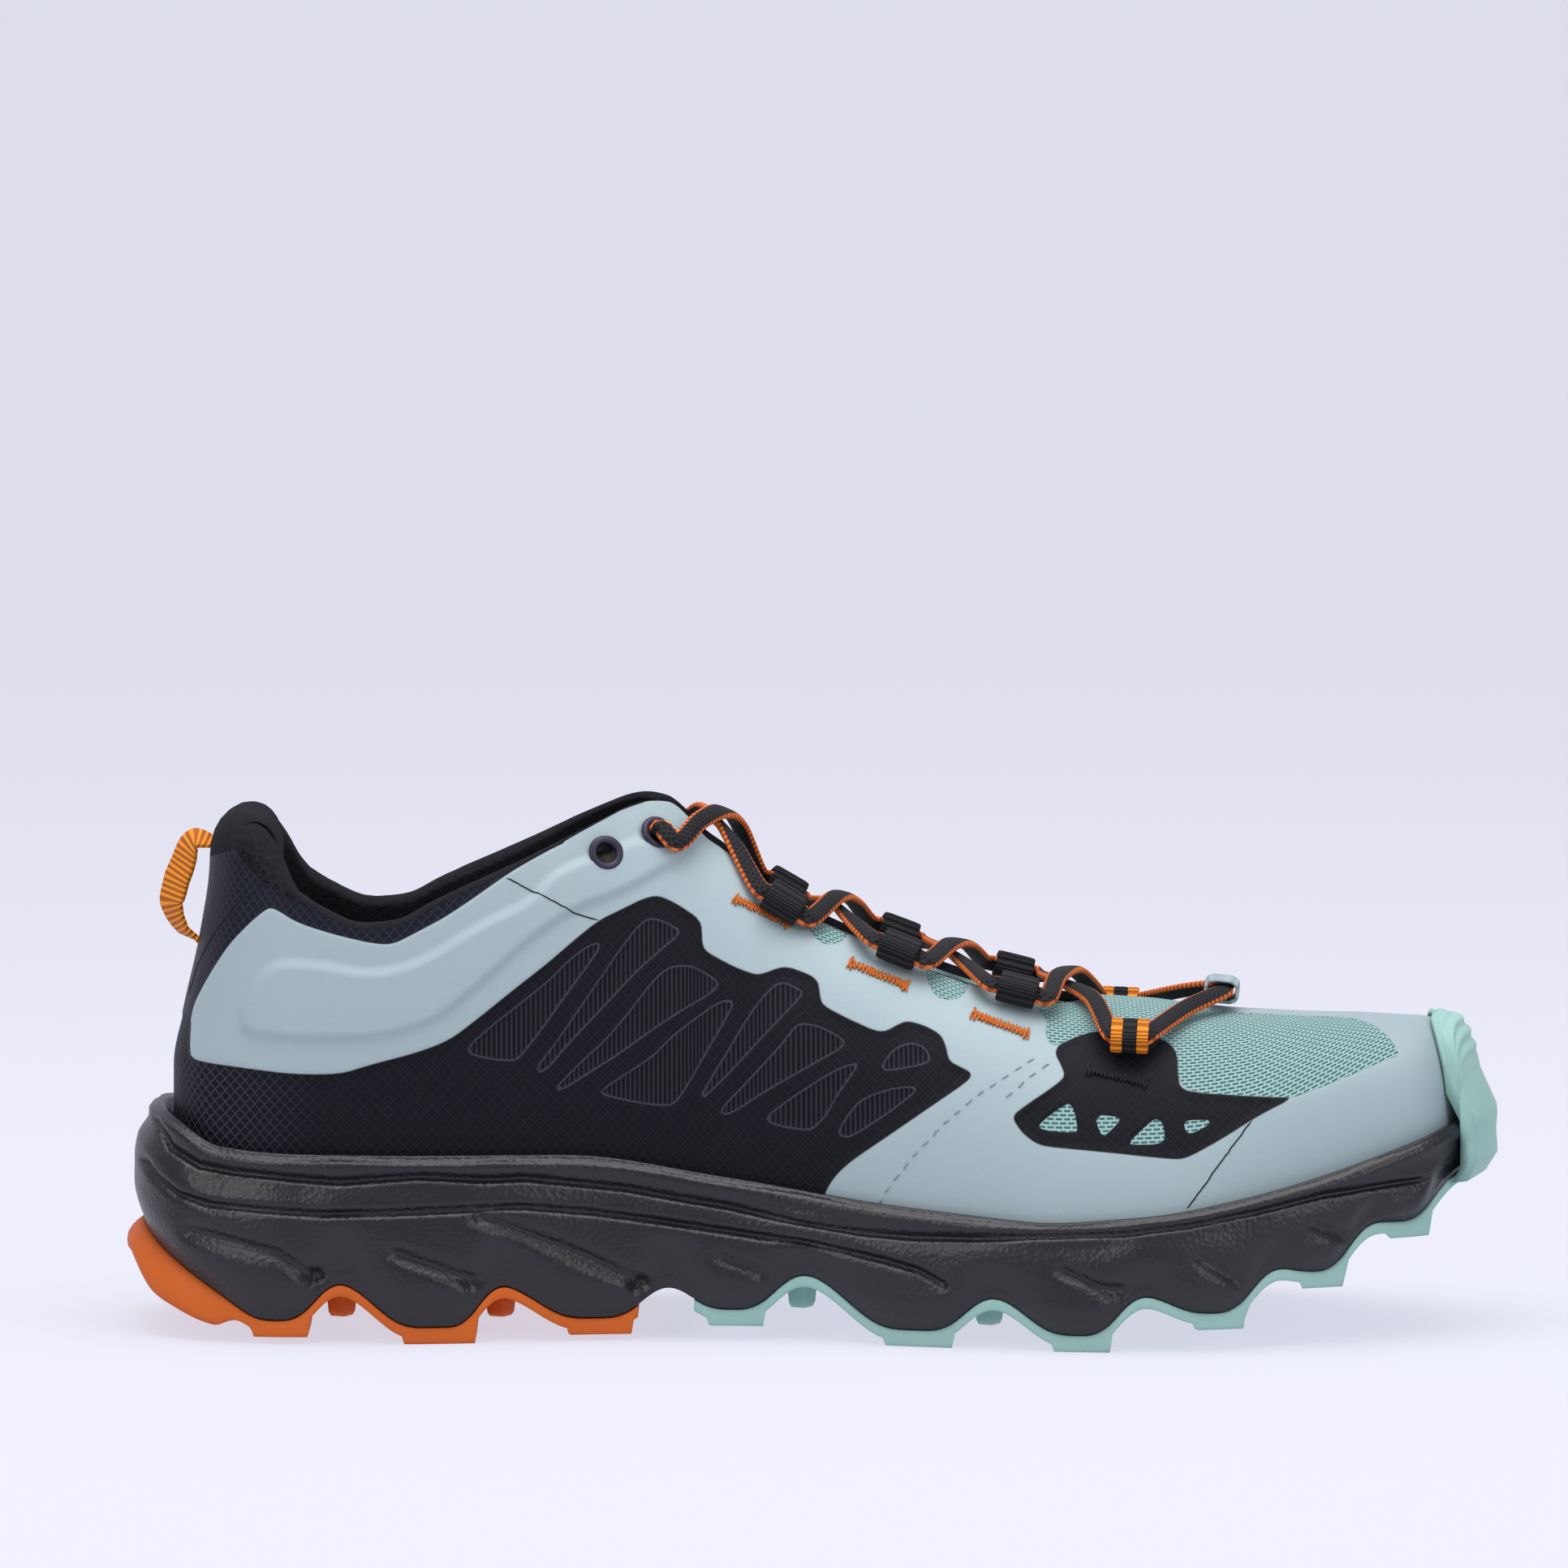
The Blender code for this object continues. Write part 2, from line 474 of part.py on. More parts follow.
def slab(name, at, rows, finish, collection):
    """A closed body from rows of (inset, height function), top first: the first and last row are
    bridged across the body, the ones between are only its sides."""
    points, faces, loops = [], [], []
    for inset, height in rows:
        edges = outline(at, inset(at) if callable(inset) else inset)
        first = len(points)
        bridged = (inset, height) in (rows[0], rows[-1])
        if bridged:
            grid = rung_grid(edges, height)
            points += list(grid.reshape(-1, 3))
            faces += grid_faces(len(at), len(SPAN), first)
            count = len(SPAN)
            inner = [first + i * count for i in range(len(at))]
            outer = [first + i * count + count - 1 for i in range(len(at))]
            ends = [[first + j for j in range(count)],
                    [first + (len(at) - 1) * count + j for j in range(count)]]
        else:
            for side, edge in zip((-1, 1), edges):
                z = height(edge[:, 0], np.full(len(at), float(side)))
                points += list(np.column_stack([edge, z]))
            inner = list(range(first, first + len(at)))
            outer = list(range(first + len(at), first + 2 * len(at)))
            ends = [[inner[0], outer[0]], [inner[-1], outer[-1]]]
        loops.append((inner, outer, ends))
    for (in_a, out_a, _), (in_b, out_b, _) in zip(loops, loops[1:]):
        for a, b in ((in_a, in_b), (out_a, out_b)):
            faces += [(a[i], a[i + 1], b[i + 1], b[i]) for i in range(len(at) - 1)]
    for which in (0, 1):
        ring = list(loops[0][2][which])
        ring += [loop[2][which][-1] for loop in loops[1:-1]]
        ring += list(reversed(loops[-1][2][which]))
        ring += [loop[2][which][0] for loop in reversed(loops[1:-1])]
        spots = {tuple(np.round(points[k], 6)) for k in ring}
        if len(spots) > len(rows):
            faces.append(tuple(ring))
    return add_object(name, np.array(points), faces, finish, collection)


def boolean(target, cutter, operation, cutters, solver="EXACT"):
    if cutter.name not in cutters.objects:
        cutters.objects.link(cutter)
    cutter.hide_render = True
    cutter.display_type = "WIRE"
    change = target.modifiers.new(cutter.name, "BOOLEAN")
    change.operation = operation
    change.object = cutter
    change.solver = solver


def make_midsole(finish, parts):
    """A cup: the wavy underside, a bulging wall, a bead, a thin rim, and the footbed inside."""
    at = sole_stations()

    def part_way(low):
        return lambda x, t: (underside(x, np.ones_like(x)) * (1 - low)
                             + side_height("rim", x) * low)

    rim = lambda x, t: side_height("rim", x)
    rows = [
        (lambda a: rim_lean(a) + RIM_LIP, lambda x, t: side_height("bed", x)),
        (lambda a: rim_lean(a) + RIM_LIP, rim),
        (lambda a: rim_lean(a), rim),
        (lambda a: rim_lean(a) * 0.45, lambda x, t: rim(x, t) - BEAD),
        (lambda a: 0 * a, part_way(0.45)),
        (lambda a: 0 * a + BOTTOM_TUCK * 0.25, part_way(0.14)),
        (lambda a: 0 * a + BOTTOM_TUCK, underside),
    ]
    return slab("midsole", at, rows, finish, parts)


def wrap_out(at):
    """The rubber's side: inside the midsole's edge, but standing out behind the heel."""
    return BOTTOM_TUCK - (BOTTOM_TUCK + HEEL_WRAP) * (1 - ease(at / 0.09))


def make_outsole(name, start, end, finish, parts):
    at = sole_stations(start, end)
    top = lambda x, t: underside(x, t) - FIT
    rows = [
        (BOTTOM_TUCK, top),
        (wrap_out, lambda x, t: (top(x, t) * 0.8 + tread(x, t) * 0.2)),
        (wrap_out, tread),
    ]
    return slab(name, at, rows, finish, parts)


def lug_box(name, x, y, z_low, z_high, turn):
    """A small lug as a cutter-like box, standing in the gap between two pods."""
    work = bmesh.new()
    bmesh.ops.create_cube(work, size=1.0)
    bmesh.ops.scale(work, vec=(INNER_LUG[0], INNER_LUG[1], z_high - z_low), verts=work.verts)
    bmesh.ops.rotate(work, verts=work.verts, matrix=Matrix.Rotation(turn, 3, "Z"))
    spot = place([[x, y, (z_low + z_high) / 2]])[0]
    bmesh.ops.translate(work, vec=Vector(spot), verts=work.verts)
    mesh = bpy.data.meshes.new(name)
    work.to_mesh(mesh)
    work.free()
    return bpy.data.objects.new(name, mesh)


def add_inner_lugs(outsole, start, end, cutters):
    """Pairs of slanting lugs hanging in each gap, a little short of the floor."""
    for k, pod in enumerate(PODS[:-2]):
        if not start < pod["gap"] < end - 0.02:
            continue
        x = HEEL_WRAP + pod["gap"] * PLAN_LENGTH
        following = PODS[k + 1]["lift"]
        low = max(pod["lift"], following) * TOE_SPRING + 1.2 * MM
        for side in (-1, 1):
            y = side * half_width(side, np.array([pod["gap"]]))[0] * 0.30
            reach = np.linspace(-0.8, 0.8, 9) * INNER_LUG[0]
            root = underside(x + reach, 0.3 + 0 * reach).min() - FIT - RUBBER_SKIN / 3
            box = lug_box(f"{outsole.name}_lug_{k}_{side}", x, y, low, root, side * 0.5)
            boolean(outsole, box, "UNION", cutters)


def make_bumper(cutters):
    """The rubber wrapped up the toe: an inner skin that clears the midsole and the upper, and an
    outer skin one wall further out, rooted inside the outsole."""
    inner = bumper_rows(FIT, 0.0)
    outer = bumper_rows(FIT + BUMPER_WALL, 1.0)
    rows, columns = inner.shape[:2]
    points = np.concatenate([inner.reshape(-1, 3), outer.reshape(-1, 3)])
    count = rows * columns
    faces = grid_faces(rows, columns) + grid_faces(rows, columns, count)
    rim = [i * columns for i in range(rows)]
    rim += [(rows - 1) * columns + j for j in range(1, columns)]
    rim += [i * columns + columns - 1 for i in range(rows - 2, -1, -1)]
    rim += list(range(columns - 2, 0, -1))
    faces += [(a, b, b + count, a + count) for a, b in zip(rim, rim[1:] + rim[:1])]
    holder = bpy.data.materials.get("toe_rubber")
    return add_object("outsole_forefoot_bumper", points, faces, holder, cutters)


def bumper_rows(out, level):
    """One skin of the bumper, from its root in the outsole up over the toe."""
    at = sole_stations(BUMPER_START, 1.0)[::-1]
    skin = []
    tuck = [(4 * MM, -1.3), (1.4 * MM, -1.3)] if level == 0 else [(4 * MM, -2.0), (-2.2 * MM, -2.0)]
    for inset, drop in tuck:
        skin.append(both_sides(at, lambda a, i=inset: 0 * a + i,
                               lambda x, d=drop: underside(x, np.ones_like(x)) + d * MM))
    for step in (0.12, 0.5, 1.0):
        skin.append(both_sides(
            at, lambda a, s=step: rim_lean(a) * max(0, s - 0.55) - out - 0.25 * MM,
            lambda x, s=step: underside(x, np.ones_like(x)) * (1 - s) + side_height("rim", x) * s))
    rounded = 0.3 + 0.7 * np.sqrt(np.clip(1 - ((1 - at) / (1 - BUMPER_START)) ** 2, 0, 1))
    for step in (0.30, 0.42, 0.54, 0.68, 0.84):
        row = []
        up = (0.2 + (step - 0.2) * rounded)[:, None]
        for side in (-1, 1):
            surface = upper_surface(at, side, up)[:, 0]
            normal = normals_of(at, side, up)[:, 0]
            row.append(surface + normal * (out + FIT))
        skin.append(np.concatenate([row[0][::-1], row[1][1:]]))
    return np.stack(skin)


def both_sides(at, inset, height):
    edges = outline(at, inset(at))
    row = [np.column_stack([edge, height(edge[:, 0])]) for edge in edges]
    return np.concatenate([row[0][::-1], row[1][1:]])


def make_upper(finish, parts):
    """One hollow shell: outer and inner surfaces, rounded at the collar, open at the collar, the
    throat and underneath."""
    at = (1 - np.cos(np.linspace(0, np.pi, STATIONS))) / 2
    level = np.array([0.0, 0.1, 0.22, 0.36, 0.5, 0.64, 0.78, 0.9, 1.0])
    skins, linings, crowns, opens = [], [], [], []
    for side in (-1, 1):
        edge = top_edge(at, side)
        up = edge[:, None] * level[None, :]
        skin = upper_surface(at, side, up)
        reach = np.clip(1 - (skin[:, -1:, 2] - skin[..., 2]) / PAD_DROP, 0, 1)
        wall = UPPER_WALL + pad_at(at)[:, None] * ease(reach)
        lining = skin - normals_of(at, side, up) * wall[..., None]
        skins.append(skin)
        linings.append(lining)
        opens.append(edge < 1)
        rise = (wall[:, -1] * crown_share(at))[:, None]
        crowns.append((skin[:, -1] + lining[:, -1]) / 2 + np.array([0, 0, 1]) * rise)
    closed = ~(opens[0] | opens[1])
    for pair in (skins, linings):
        ridge = (pair[0][closed, -1] + pair[1][closed, -1]) / 2
        for grid in pair:
            grid[closed, -1] = ridge
            for end in (0, -1):
                grid[end] = (pair[0][end] + pair[1][end]) / 2
    for crown in crowns:
        crown[0] = (crowns[0][0] + crowns[1][0]) / 2
    return shell_from(list(zip(skins, linings, crowns, [~closed, ~closed])), at, finish, parts)


def shell_from(halves, at, finish, parts):
    points, faces = [], []
    layers = {}
    for k, (skin, lining, crown, open_top) in enumerate(halves):
        for label, grid in (("skin", skin), ("lining", lining), ("crown", crown)):
            layers[label, k] = len(points)
            points += list(grid.reshape(-1, 3))
        rows = len(at)
        columns = skin.shape[1]
        faces += grid_faces(rows, columns, layers["skin", k])
        faces += grid_faces(rows, columns, layers["lining", k])
        for i in range(rows - 1):
            skin_a, skin_b = (layers["skin", k] + (i + j) * columns for j in (0, 1))
            lining_a, lining_b = (layers["lining", k] + (i + j) * columns for j in (0, 1))
            faces.append((skin_a, skin_b, lining_b, lining_a))
            top = columns - 1
            crown = layers["crown", k] + i
            if open_top[i] and open_top[i + 1]:
                faces.append((skin_a + top, skin_b + top, crown + 1, crown))
                faces.append((lining_a + top, lining_b + top, crown + 1, crown))
            elif open_top[i]:
                faces += [(skin_a + top, skin_b + top, crown), (lining_a + top, lining_b + top, crown),
                          (crown, skin_b + top, lining_b + top)]
    return add_object("upper", np.array(points), faces, finish, parts)


def spot_on_upper(at, side, half=None, height=None):
    """Point, normal and heelwards-to-toe direction of the upper's surface at a share of the plan,
    a sideways distance from the ridge or a height from the floor."""
    at = np.array([float(at)])
    up = np.linspace(0, 1, 801)
    points = section_of_upper(np.repeat(at, len(up)), side, up)
    miss = np.abs(points[:, 1] - points[-1, 1]) - half if height is None else height - points[:, 2]
    found = up[np.argmax(miss <= 0)] if (miss <= 0).any() else 1.0
    level = np.array([min(found, 0.9995)])
    normal = normals_of(at, side, level)[0, 0]
    ahead = upper_surface(at + 2e-3, side, level) - upper_surface(at - 2e-3, side, level)
    along = ahead[0, 0] - normal * (ahead[0, 0] @ normal)
    return upper_surface(at, side, level)[0, 0], normal, along / np.linalg.norm(along)


def over_throat(at, sideways, lift):
    """A point above the upper's surface: sideways is signed and measured from the ridge."""
    side = -1 if sideways < 0 else 1
    point, normal, _ = spot_on_upper(at, side, half=abs(sideways))
    return point + normal * lift, normal


def make_insole(finish, parts):
    at = sole_stations()[::2]
    at = np.unique(np.append(at, [0.0, 1.0]))
    wall = RIM_LIP + CUP_FIT + UPPER_WALL + 2 * FIT
    inset = lambda a: rim_lean(a) + wall

    bottom = lambda x, t: side_height("bed", x) + FIT
    return slab("insole", at, [(inset, lambda x, t: bottom(x, t) + INSOLE), (inset, bottom)],
                finish, parts)


def make_tongue(finish, parts):
    """A curved sheet under the throat, as wide as the throat and an overlap on both sides."""
    at = np.linspace(*TONGUE_ENDS, 17)
    across = np.linspace(-1, 1, 9)
    skins = {"top": [], "bottom": []}
    for a in at:
        half = curve(column(THROAT, "at"), column(THROAT, "half"), [a])[0] * THROAT_HALF
        for t in across:
            offset = t * (half + TONGUE_OVERLAP)
            depth = UPPER_WALL + TONGUE_DEPTH
            skins["top"].append(over_throat(a, offset, -depth)[0])
            skins["bottom"].append(over_throat(a, offset, -depth - TONGUE)[0])
    count = len(at) * len(across)
    points = np.array(skins["top"] + skins["bottom"])
    faces = grid_faces(len(at), len(across)) + grid_faces(len(at), len(across), count)
    rows, columns = len(at), len(across)
    rim = [i * columns for i in range(rows)] + [(rows - 1) * columns + j for j in range(1, columns)]
    rim += [i * columns + columns - 1 for i in range(rows - 2, -1, -1)]
    rim += list(range(columns - 2, 0, -1))
    faces += [(a, b, b + count, a + count) for a, b in zip(rim, rim[1:] + rim[:1])]
    return add_object("tongue", points, faces, finish, parts)


def turned(name, profile, finish, collection, steps=16):
    """A ring turned about Z from a closed profile of radius and height pairs."""
    mesh = bpy.data.meshes.new(name)
    edges = [(i, (i + 1) % len(profile)) for i in range(len(profile))]
    mesh.from_pydata([(radius, 0, height) for radius, height in profile], edges, [])
    mesh.materials.append(finish)
    made = bpy.data.objects.new(name, mesh)
    collection.objects.link(made)
    spin = made.modifiers.new("turn", "SCREW")
    spin.steps = spin.render_steps = steps
    spin.use_merge_vertices = True
    spin.merge_threshold = 0.00001
    spin.use_smooth_shade = True
    return made


def aim(made, point, normal, along):
    """Places an object with its Z on a normal and its X along the throat."""
    across = np.cross(normal, along)
    turn = Matrix(np.column_stack([along, across, normal]).tolist()).to_4x4()
    turn.translation = Vector(place([point])[0])
    made.matrix_world = turn


def make_eyelets(upper, finish, parts, cutters):
    """Flanged rings: the flange lies on the facing, the barrel goes through a hole in it."""
    barrel = EYELET_HOLE + EYELET_BARREL
    low = -UPPER_WALL - 2 * FIT
    top = 2 * FIT + EYELET_FLANGE
    profile = [(EYELET_HOLE, low), (EYELET_HOLE, top), (EYELET_RADIUS - 0.5 * MM, top),
               (EYELET_RADIUS, top - EYELET_FLANGE / 2), (EYELET_RADIUS, 2 * FIT),
               (barrel, 2 * FIT), (barrel, low)]
    for side, label in ((-1, "inner"), (1, "outer")):
        for k, row in enumerate(EYELETS, 1):
            spot = spot_on_upper(row["at"], side, height=row["up"] * INSTEP_HEIGHT)
            ring = turned(f"eyelet_{label}_{k}", profile, finish, parts)
            aim(ring, *spot)
            hole = drill(f"eyelet_hole_{label}_{k}", barrel + FIT)
            aim(hole, *spot)
            boolean(upper, hole, "DIFFERENCE", cutters)


def drill(name, radius):
    work = bmesh.new()
    bmesh.ops.create_cone(work, cap_ends=True, segments=20, radius1=radius, radius2=radius,
                          depth=12 * MM)
    mesh = bpy.data.meshes.new(name)
    work.to_mesh(mesh)
    work.free()
    return bpy.data.objects.new(name, mesh)


def sleeve(name, spot, lift, length, finish, parts, turn=0.0):
    """A webbing sleeve round the lace: a rounded ring drawn along the lace, given its wall."""
    half_width_in = LACE_WIDTH / 2 + SLEEVE_ROOM
    half_height_in = LACE_THICKNESS / 2 + SLEEVE_ROOM
    angle = np.linspace(0, 2 * np.pi, 13)[:-1]
    y = np.sign(np.cos(angle)) * np.abs(np.cos(angle)) ** 0.6 * half_width_in
    z = np.sign(np.sin(angle)) * np.abs(np.sin(angle)) ** 0.6 * half_height_in
    ends = [np.column_stack([np.full(12, x), y, z]) for x in (-length / 2, length / 2)]
    mesh = bpy.data.meshes.new(name)
    faces = [(i, (i + 1) % 12, 12 + (i + 1) % 12, 12 + i) for i in range(12)]
    mesh.from_pydata([tuple(p) for p in np.concatenate(ends)], [], faces)
    mesh.materials.append(finish)
    made = bpy.data.objects.new(name, mesh)
    parts.objects.link(made)
    wall = made.modifiers.new("webbing", "SOLIDIFY")
    wall.thickness = LOOP_WEBBING
    wall.offset = 1.0
    wall.use_even_offset = True
    point, normal, along = spot
    along = Matrix.Rotation(turn, 3, Vector(normal)) @ Vector(along)
    aim(made, point + normal * lift, normal, np.array(along))
    return made


def sleeve_lift():
    """Height of the lace's middle in a loop above the upper's surface."""
    return LACE_THICKNESS / 2 + SLEEVE_ROOM + LOOP_WEBBING + 4 * FIT


def make_lace_loops(webbing, edge, film, parts):
    for side, label in ((-1, "inner"), (1, "outer")):
        for k, row in enumerate(LACE_LOOPS, 1):
            spot = spot_on_upper(row["at"], side, half=row["half"] * THROAT_HALF)
            sleeve(f"lace_loop_{label}_{k}", spot, sleeve_lift(), LOOP_LENGTH, webbing, parts)
        spot = spot_on_upper(FORE_LOOP["at"], side, half=FORE_LOOP["half"] * THROAT_HALF)
        sleeve(f"forefoot_loop_{label}", spot, sleeve_lift(), FORE_SLEEVE, edge, parts)
    spot = spot_on_upper(TOE_LOOP["at"], 1, half=0.0)
    sleeve("toe_loop", spot, sleeve_lift(), TOE_SLEEVE, film, parts, turn=np.pi / 2)


def lace_route():
    """The lace from the inner eyelet through every loop to the outer eyelet, as points and
    normals: it crosses the throat between the loops and turns back through the toe loop."""
    high = sleeve_lift()
    reach = LOOP_LENGTH / 2 + 2.4 * MM

    def on_axis(spot, steps):
        point, normal, along = spot
        return [(point + normal * high + along * step, normal) for step in steps]

    def strand(side, over):
        """From an eyelet down to the forefoot loop, crossing to the other side each time."""
        eyelet = spot_on_upper(EYELETS[1]["at"], side, height=EYELETS[1]["up"] * INSTEP_HEIGHT)
        rise = 2 * FIT + EYELET_FLANGE + LACE_THICKNESS / 2 + FIT
        points = [(eyelet[0] + eyelet[1] * rise, eyelet[1])]
        points.append(over_throat(0.400, side * 15 * MM, LACE_LIFT + 1.6 * MM))
        points.append(over_throat(0.414, side * 9 * MM, LACE_LIFT + 1.8 * MM))
        back, back_half = 0.414, 9 * MM
        for row in LACE_LOOPS:
            lift = LACE_LIFT + (LACE_OVER if (side < 0) == over else 0.0)
            front = row["at"] - reach / PLAN_LENGTH
            wide = row["half"] * THROAT_HALF
            for t in (0.34, 0.66):
                at = back + t * (front - back)
                points.append(over_throat(at, side * (back_half * (1 - t) - wide * t), lift))
            side = -side
            spot = spot_on_upper(row["at"], side, half=wide)
            points += on_axis(spot, (-reach, -reach / 2, 0.0, reach / 2, reach))
            back, back_half = row["at"] + reach / PLAN_LENGTH, wide
        lift = LACE_LIFT + (LACE_OVER if (side < 0) == over else 0.0)
        points.append(over_throat(0.684, side * 8 * MM, lift))
        points.append(over_throat(0.698, -side * 5 * MM, lift))
        side = -side
        spot = spot_on_upper(FORE_LOOP["at"], side, half=FORE_LOOP["half"] * THROAT_HALF)
        inwards = TURN_IN * np.cross(spot[1], spot[2]) * -side
        reach_fore = FORE_SLEEVE / 2 + 0.9 * MM
        corner = on_axis(spot, (-reach_fore - TURN, reach_fore + TURN))
        points.append(over_throat(0.712, side * 15 * MM, LACE_LIFT + 0.8 * MM))
        points.append((corner[0][0] + inwards, spot[1]))
        points += on_axis(spot, (-reach_fore, 0.0, reach_fore))
        points.append((corner[1][0] + inwards, spot[1]))
        points.append(over_throat(0.785, side * 15 * MM, LACE_LIFT + 0.8 * MM))
        spot = spot_on_upper(TOE_LOOP["at"], 1, half=0.0)
        sideways = np.cross(spot[1], spot[2])
        for step in (TOE_SLEEVE / 2 + 1.2 * MM, TOE_SLEEVE / 4):
            points.append((spot[0] + spot[1] * high + sideways * step * side, spot[1]))
        return points

    first, second = strand(-1, True), strand(1, True)
    route = first + second[::-1]
    return np.array([p for p, _ in route]), np.array([n for _, n in route])


def through(points, values, spacing):
    """Evenly spaced samples of a smooth curve through points, and values carried with them."""
    ends = np.vstack([2 * points[0] - points[1], points, 2 * points[-1] - points[-2]])
    more = np.vstack([values[0], values, values[-1]])
    places, carried = [], []
    t = np.linspace(0, 1, 24, endpoint=False)[:, None]
    for a, b in zip(range(len(points) - 1), range(1, len(points))):
        p0, p1, p2, p3 = ends[a:a + 4]
        places.append(0.5 * (2 * p1 + (p2 - p0) * t + (2 * p0 - 5 * p1 + 4 * p2 - p3) * t**2
                             + (3 * p1 - p0 - 3 * p2 + p3) * t**3))
        carried.append(more[a + 1] * (1 - t) + more[b + 1] * t)
    places = np.vstack(places + [points[-1:]])
    carried = np.vstack(carried + [values[-1:]])
    run = np.append(0, np.cumsum(np.linalg.norm(np.diff(places, axis=0), axis=1)))
    bend = np.linalg.norm(np.gradient(np.gradient(places, run, axis=0), run, axis=0), axis=1)
    weight = np.append(0, np.cumsum(np.diff(run) * (1 + np.clip(bend[1:] / 90, 0, 2.2))))
    even = np.linspace(0, weight[-1], int(weight[-1] / spacing))
    at = np.interp(even, weight, run)
    pick = lambda rows: np.column_stack([np.interp(at, run, rows[:, k]) for k in range(3)])
    return pick(places), pick(carried)


def make_lace(finish, parts):
    """A flat oval carried along the route, its flat side on the surface below."""
    places, normals = through(*lace_route(), LACE_STEP)
    along = np.gradient(places, axis=0)
    along /= np.linalg.norm(along, axis=1, keepdims=True)
    normals -= along * np.sum(normals * along, axis=1, keepdims=True)
    normals /= np.linalg.norm(normals, axis=1, keepdims=True)
    across = np.cross(normals, along)
    angle = np.linspace(0, 2 * np.pi, 9)[:-1]
    wide = np.sign(np.cos(angle)) * np.abs(np.cos(angle)) ** 0.8 * LACE_WIDTH / 2
    thick = np.sin(angle) * LACE_THICKNESS / 2
    rings = (places[:, None] + across[:, None] * wide[None, :, None]
             + normals[:, None] * thick[None, :, None])
    faces = grid_faces(len(places), 8, wrap=True)
    last = (len(places) - 1) * 8
    faces += [tuple(range(8)), tuple(last + i for i in range(8))]
    return add_object("lace", rings.reshape(-1, 3), faces, finish, parts)


def make_pull_loop(finish, parts):
    """A strip of webbing standing out from the back of the heel in a loop."""
    rows = np.column_stack([column(PULL, "out"), column(PULL, "up")])
    dense = np.linspace(0, len(rows) - 1, 17)
    out = np.interp(dense, np.arange(len(rows)), rows[:, 0]) * PULL_BULGE
    height = PULL_LOW * HEEL_HEIGHT + np.interp(dense, np.arange(len(rows)), rows[:, 1]) * PULL_HEIGHT
    lean = HEEL_CURVE * curve(column(BACK, "up"), column(BACK, "lean"), height / HEEL_HEIGHT)
    back = upper_edges(np.array([0.0]))[0][0, 0] + lean - 2 * FIT - PULL_WEBBING / 2
    strip = []
    for y in (-PULL_WIDTH / 2, 0.0, PULL_WIDTH / 2):
        strip.append(np.column_stack([back - out, np.full(len(out), y), height]))
    count = len(out)
    made = add_object("heel_pull_loop", np.concatenate(strip), grid_faces(3, count), finish, parts)
    wall = made.modifiers.new("webbing", "SOLIDIFY")
    wall.thickness = PULL_WEBBING
    wall.offset = 0.0
    wall.use_even_offset = True
    return made


def main():
    for old in list(bpy.data.objects):
        bpy.data.objects.remove(old)
    parts = bpy.data.collections.new("trail_running_shoe")
    cutters = bpy.data.collections.new("cutters")
    for collection in (parts, cutters):
        bpy.context.scene.collection.children.link(collection)
    foam = material("midsole_foam", (0.016, 0.015, 0.022), 0.42)
    heel_rubber = material("heel_rubber", (0.72, 0.14, 0.02), 0.6)
    toe_rubber = material("toe_rubber", (0.30, 0.50, 0.46), 0.6)
    cloth = material("upper_cloth", (0.42, 0.53, 0.57), 0.7)
    make_midsole(foam, parts)
    heel = make_outsole("outsole_heel", 0.0, HEEL_RUBBER_END, heel_rubber, parts)
    fore = make_outsole("outsole_forefoot", TOE_RUBBER_START, 1.0, toe_rubber, parts)
    add_inner_lugs(heel, 0.0, HEEL_RUBBER_END, cutters)
    add_inner_lugs(fore, TOE_RUBBER_START, 1.0, cutters)
    boolean(fore, make_bumper(cutters), "UNION", cutters, solver="MANIFOLD")
    upper = make_upper(cloth, parts)
    make_insole(material("insole_cloth", (0.02, 0.02, 0.025), 0.85), parts)
    make_tongue(material("tongue_mesh", (0.35, 0.55, 0.53), 0.8), parts)
    make_eyelets(upper, material("eyelet_metal", (0.05, 0.045, 0.08), 0.35), parts, cutters)
    orange = material("orange_webbing", (0.85, 0.25, 0.01), 0.7)
    make_lace_loops(material("black_webbing", (0.012, 0.012, 0.016), 0.7), orange,
                    material("grey_film", (0.40, 0.50, 0.53), 0.55), parts)
    make_lace(material("lace_cord", (0.012, 0.012, 0.016), 0.75), parts)
    make_pull_loop(orange, parts)


main()
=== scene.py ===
import bpy
import bmesh
import numpy as np
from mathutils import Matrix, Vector


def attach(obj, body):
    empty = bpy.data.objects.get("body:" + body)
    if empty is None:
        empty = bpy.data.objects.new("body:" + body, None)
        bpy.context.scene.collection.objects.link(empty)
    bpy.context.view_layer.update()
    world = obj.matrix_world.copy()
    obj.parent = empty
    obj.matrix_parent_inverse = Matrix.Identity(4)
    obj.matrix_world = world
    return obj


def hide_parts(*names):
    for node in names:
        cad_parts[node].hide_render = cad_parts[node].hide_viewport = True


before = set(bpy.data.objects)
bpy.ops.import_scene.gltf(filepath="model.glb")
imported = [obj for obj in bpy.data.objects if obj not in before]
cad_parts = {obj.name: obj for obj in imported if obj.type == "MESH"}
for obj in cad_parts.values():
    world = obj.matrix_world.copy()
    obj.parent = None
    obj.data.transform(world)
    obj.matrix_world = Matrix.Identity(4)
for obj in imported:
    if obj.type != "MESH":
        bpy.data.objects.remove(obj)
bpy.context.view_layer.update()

mm = 0.001


# A list of dictionaries from one row of names and rows of values
def rowsOf(names, *rows):
    return [dict(zip(names, row)) for row in rows]


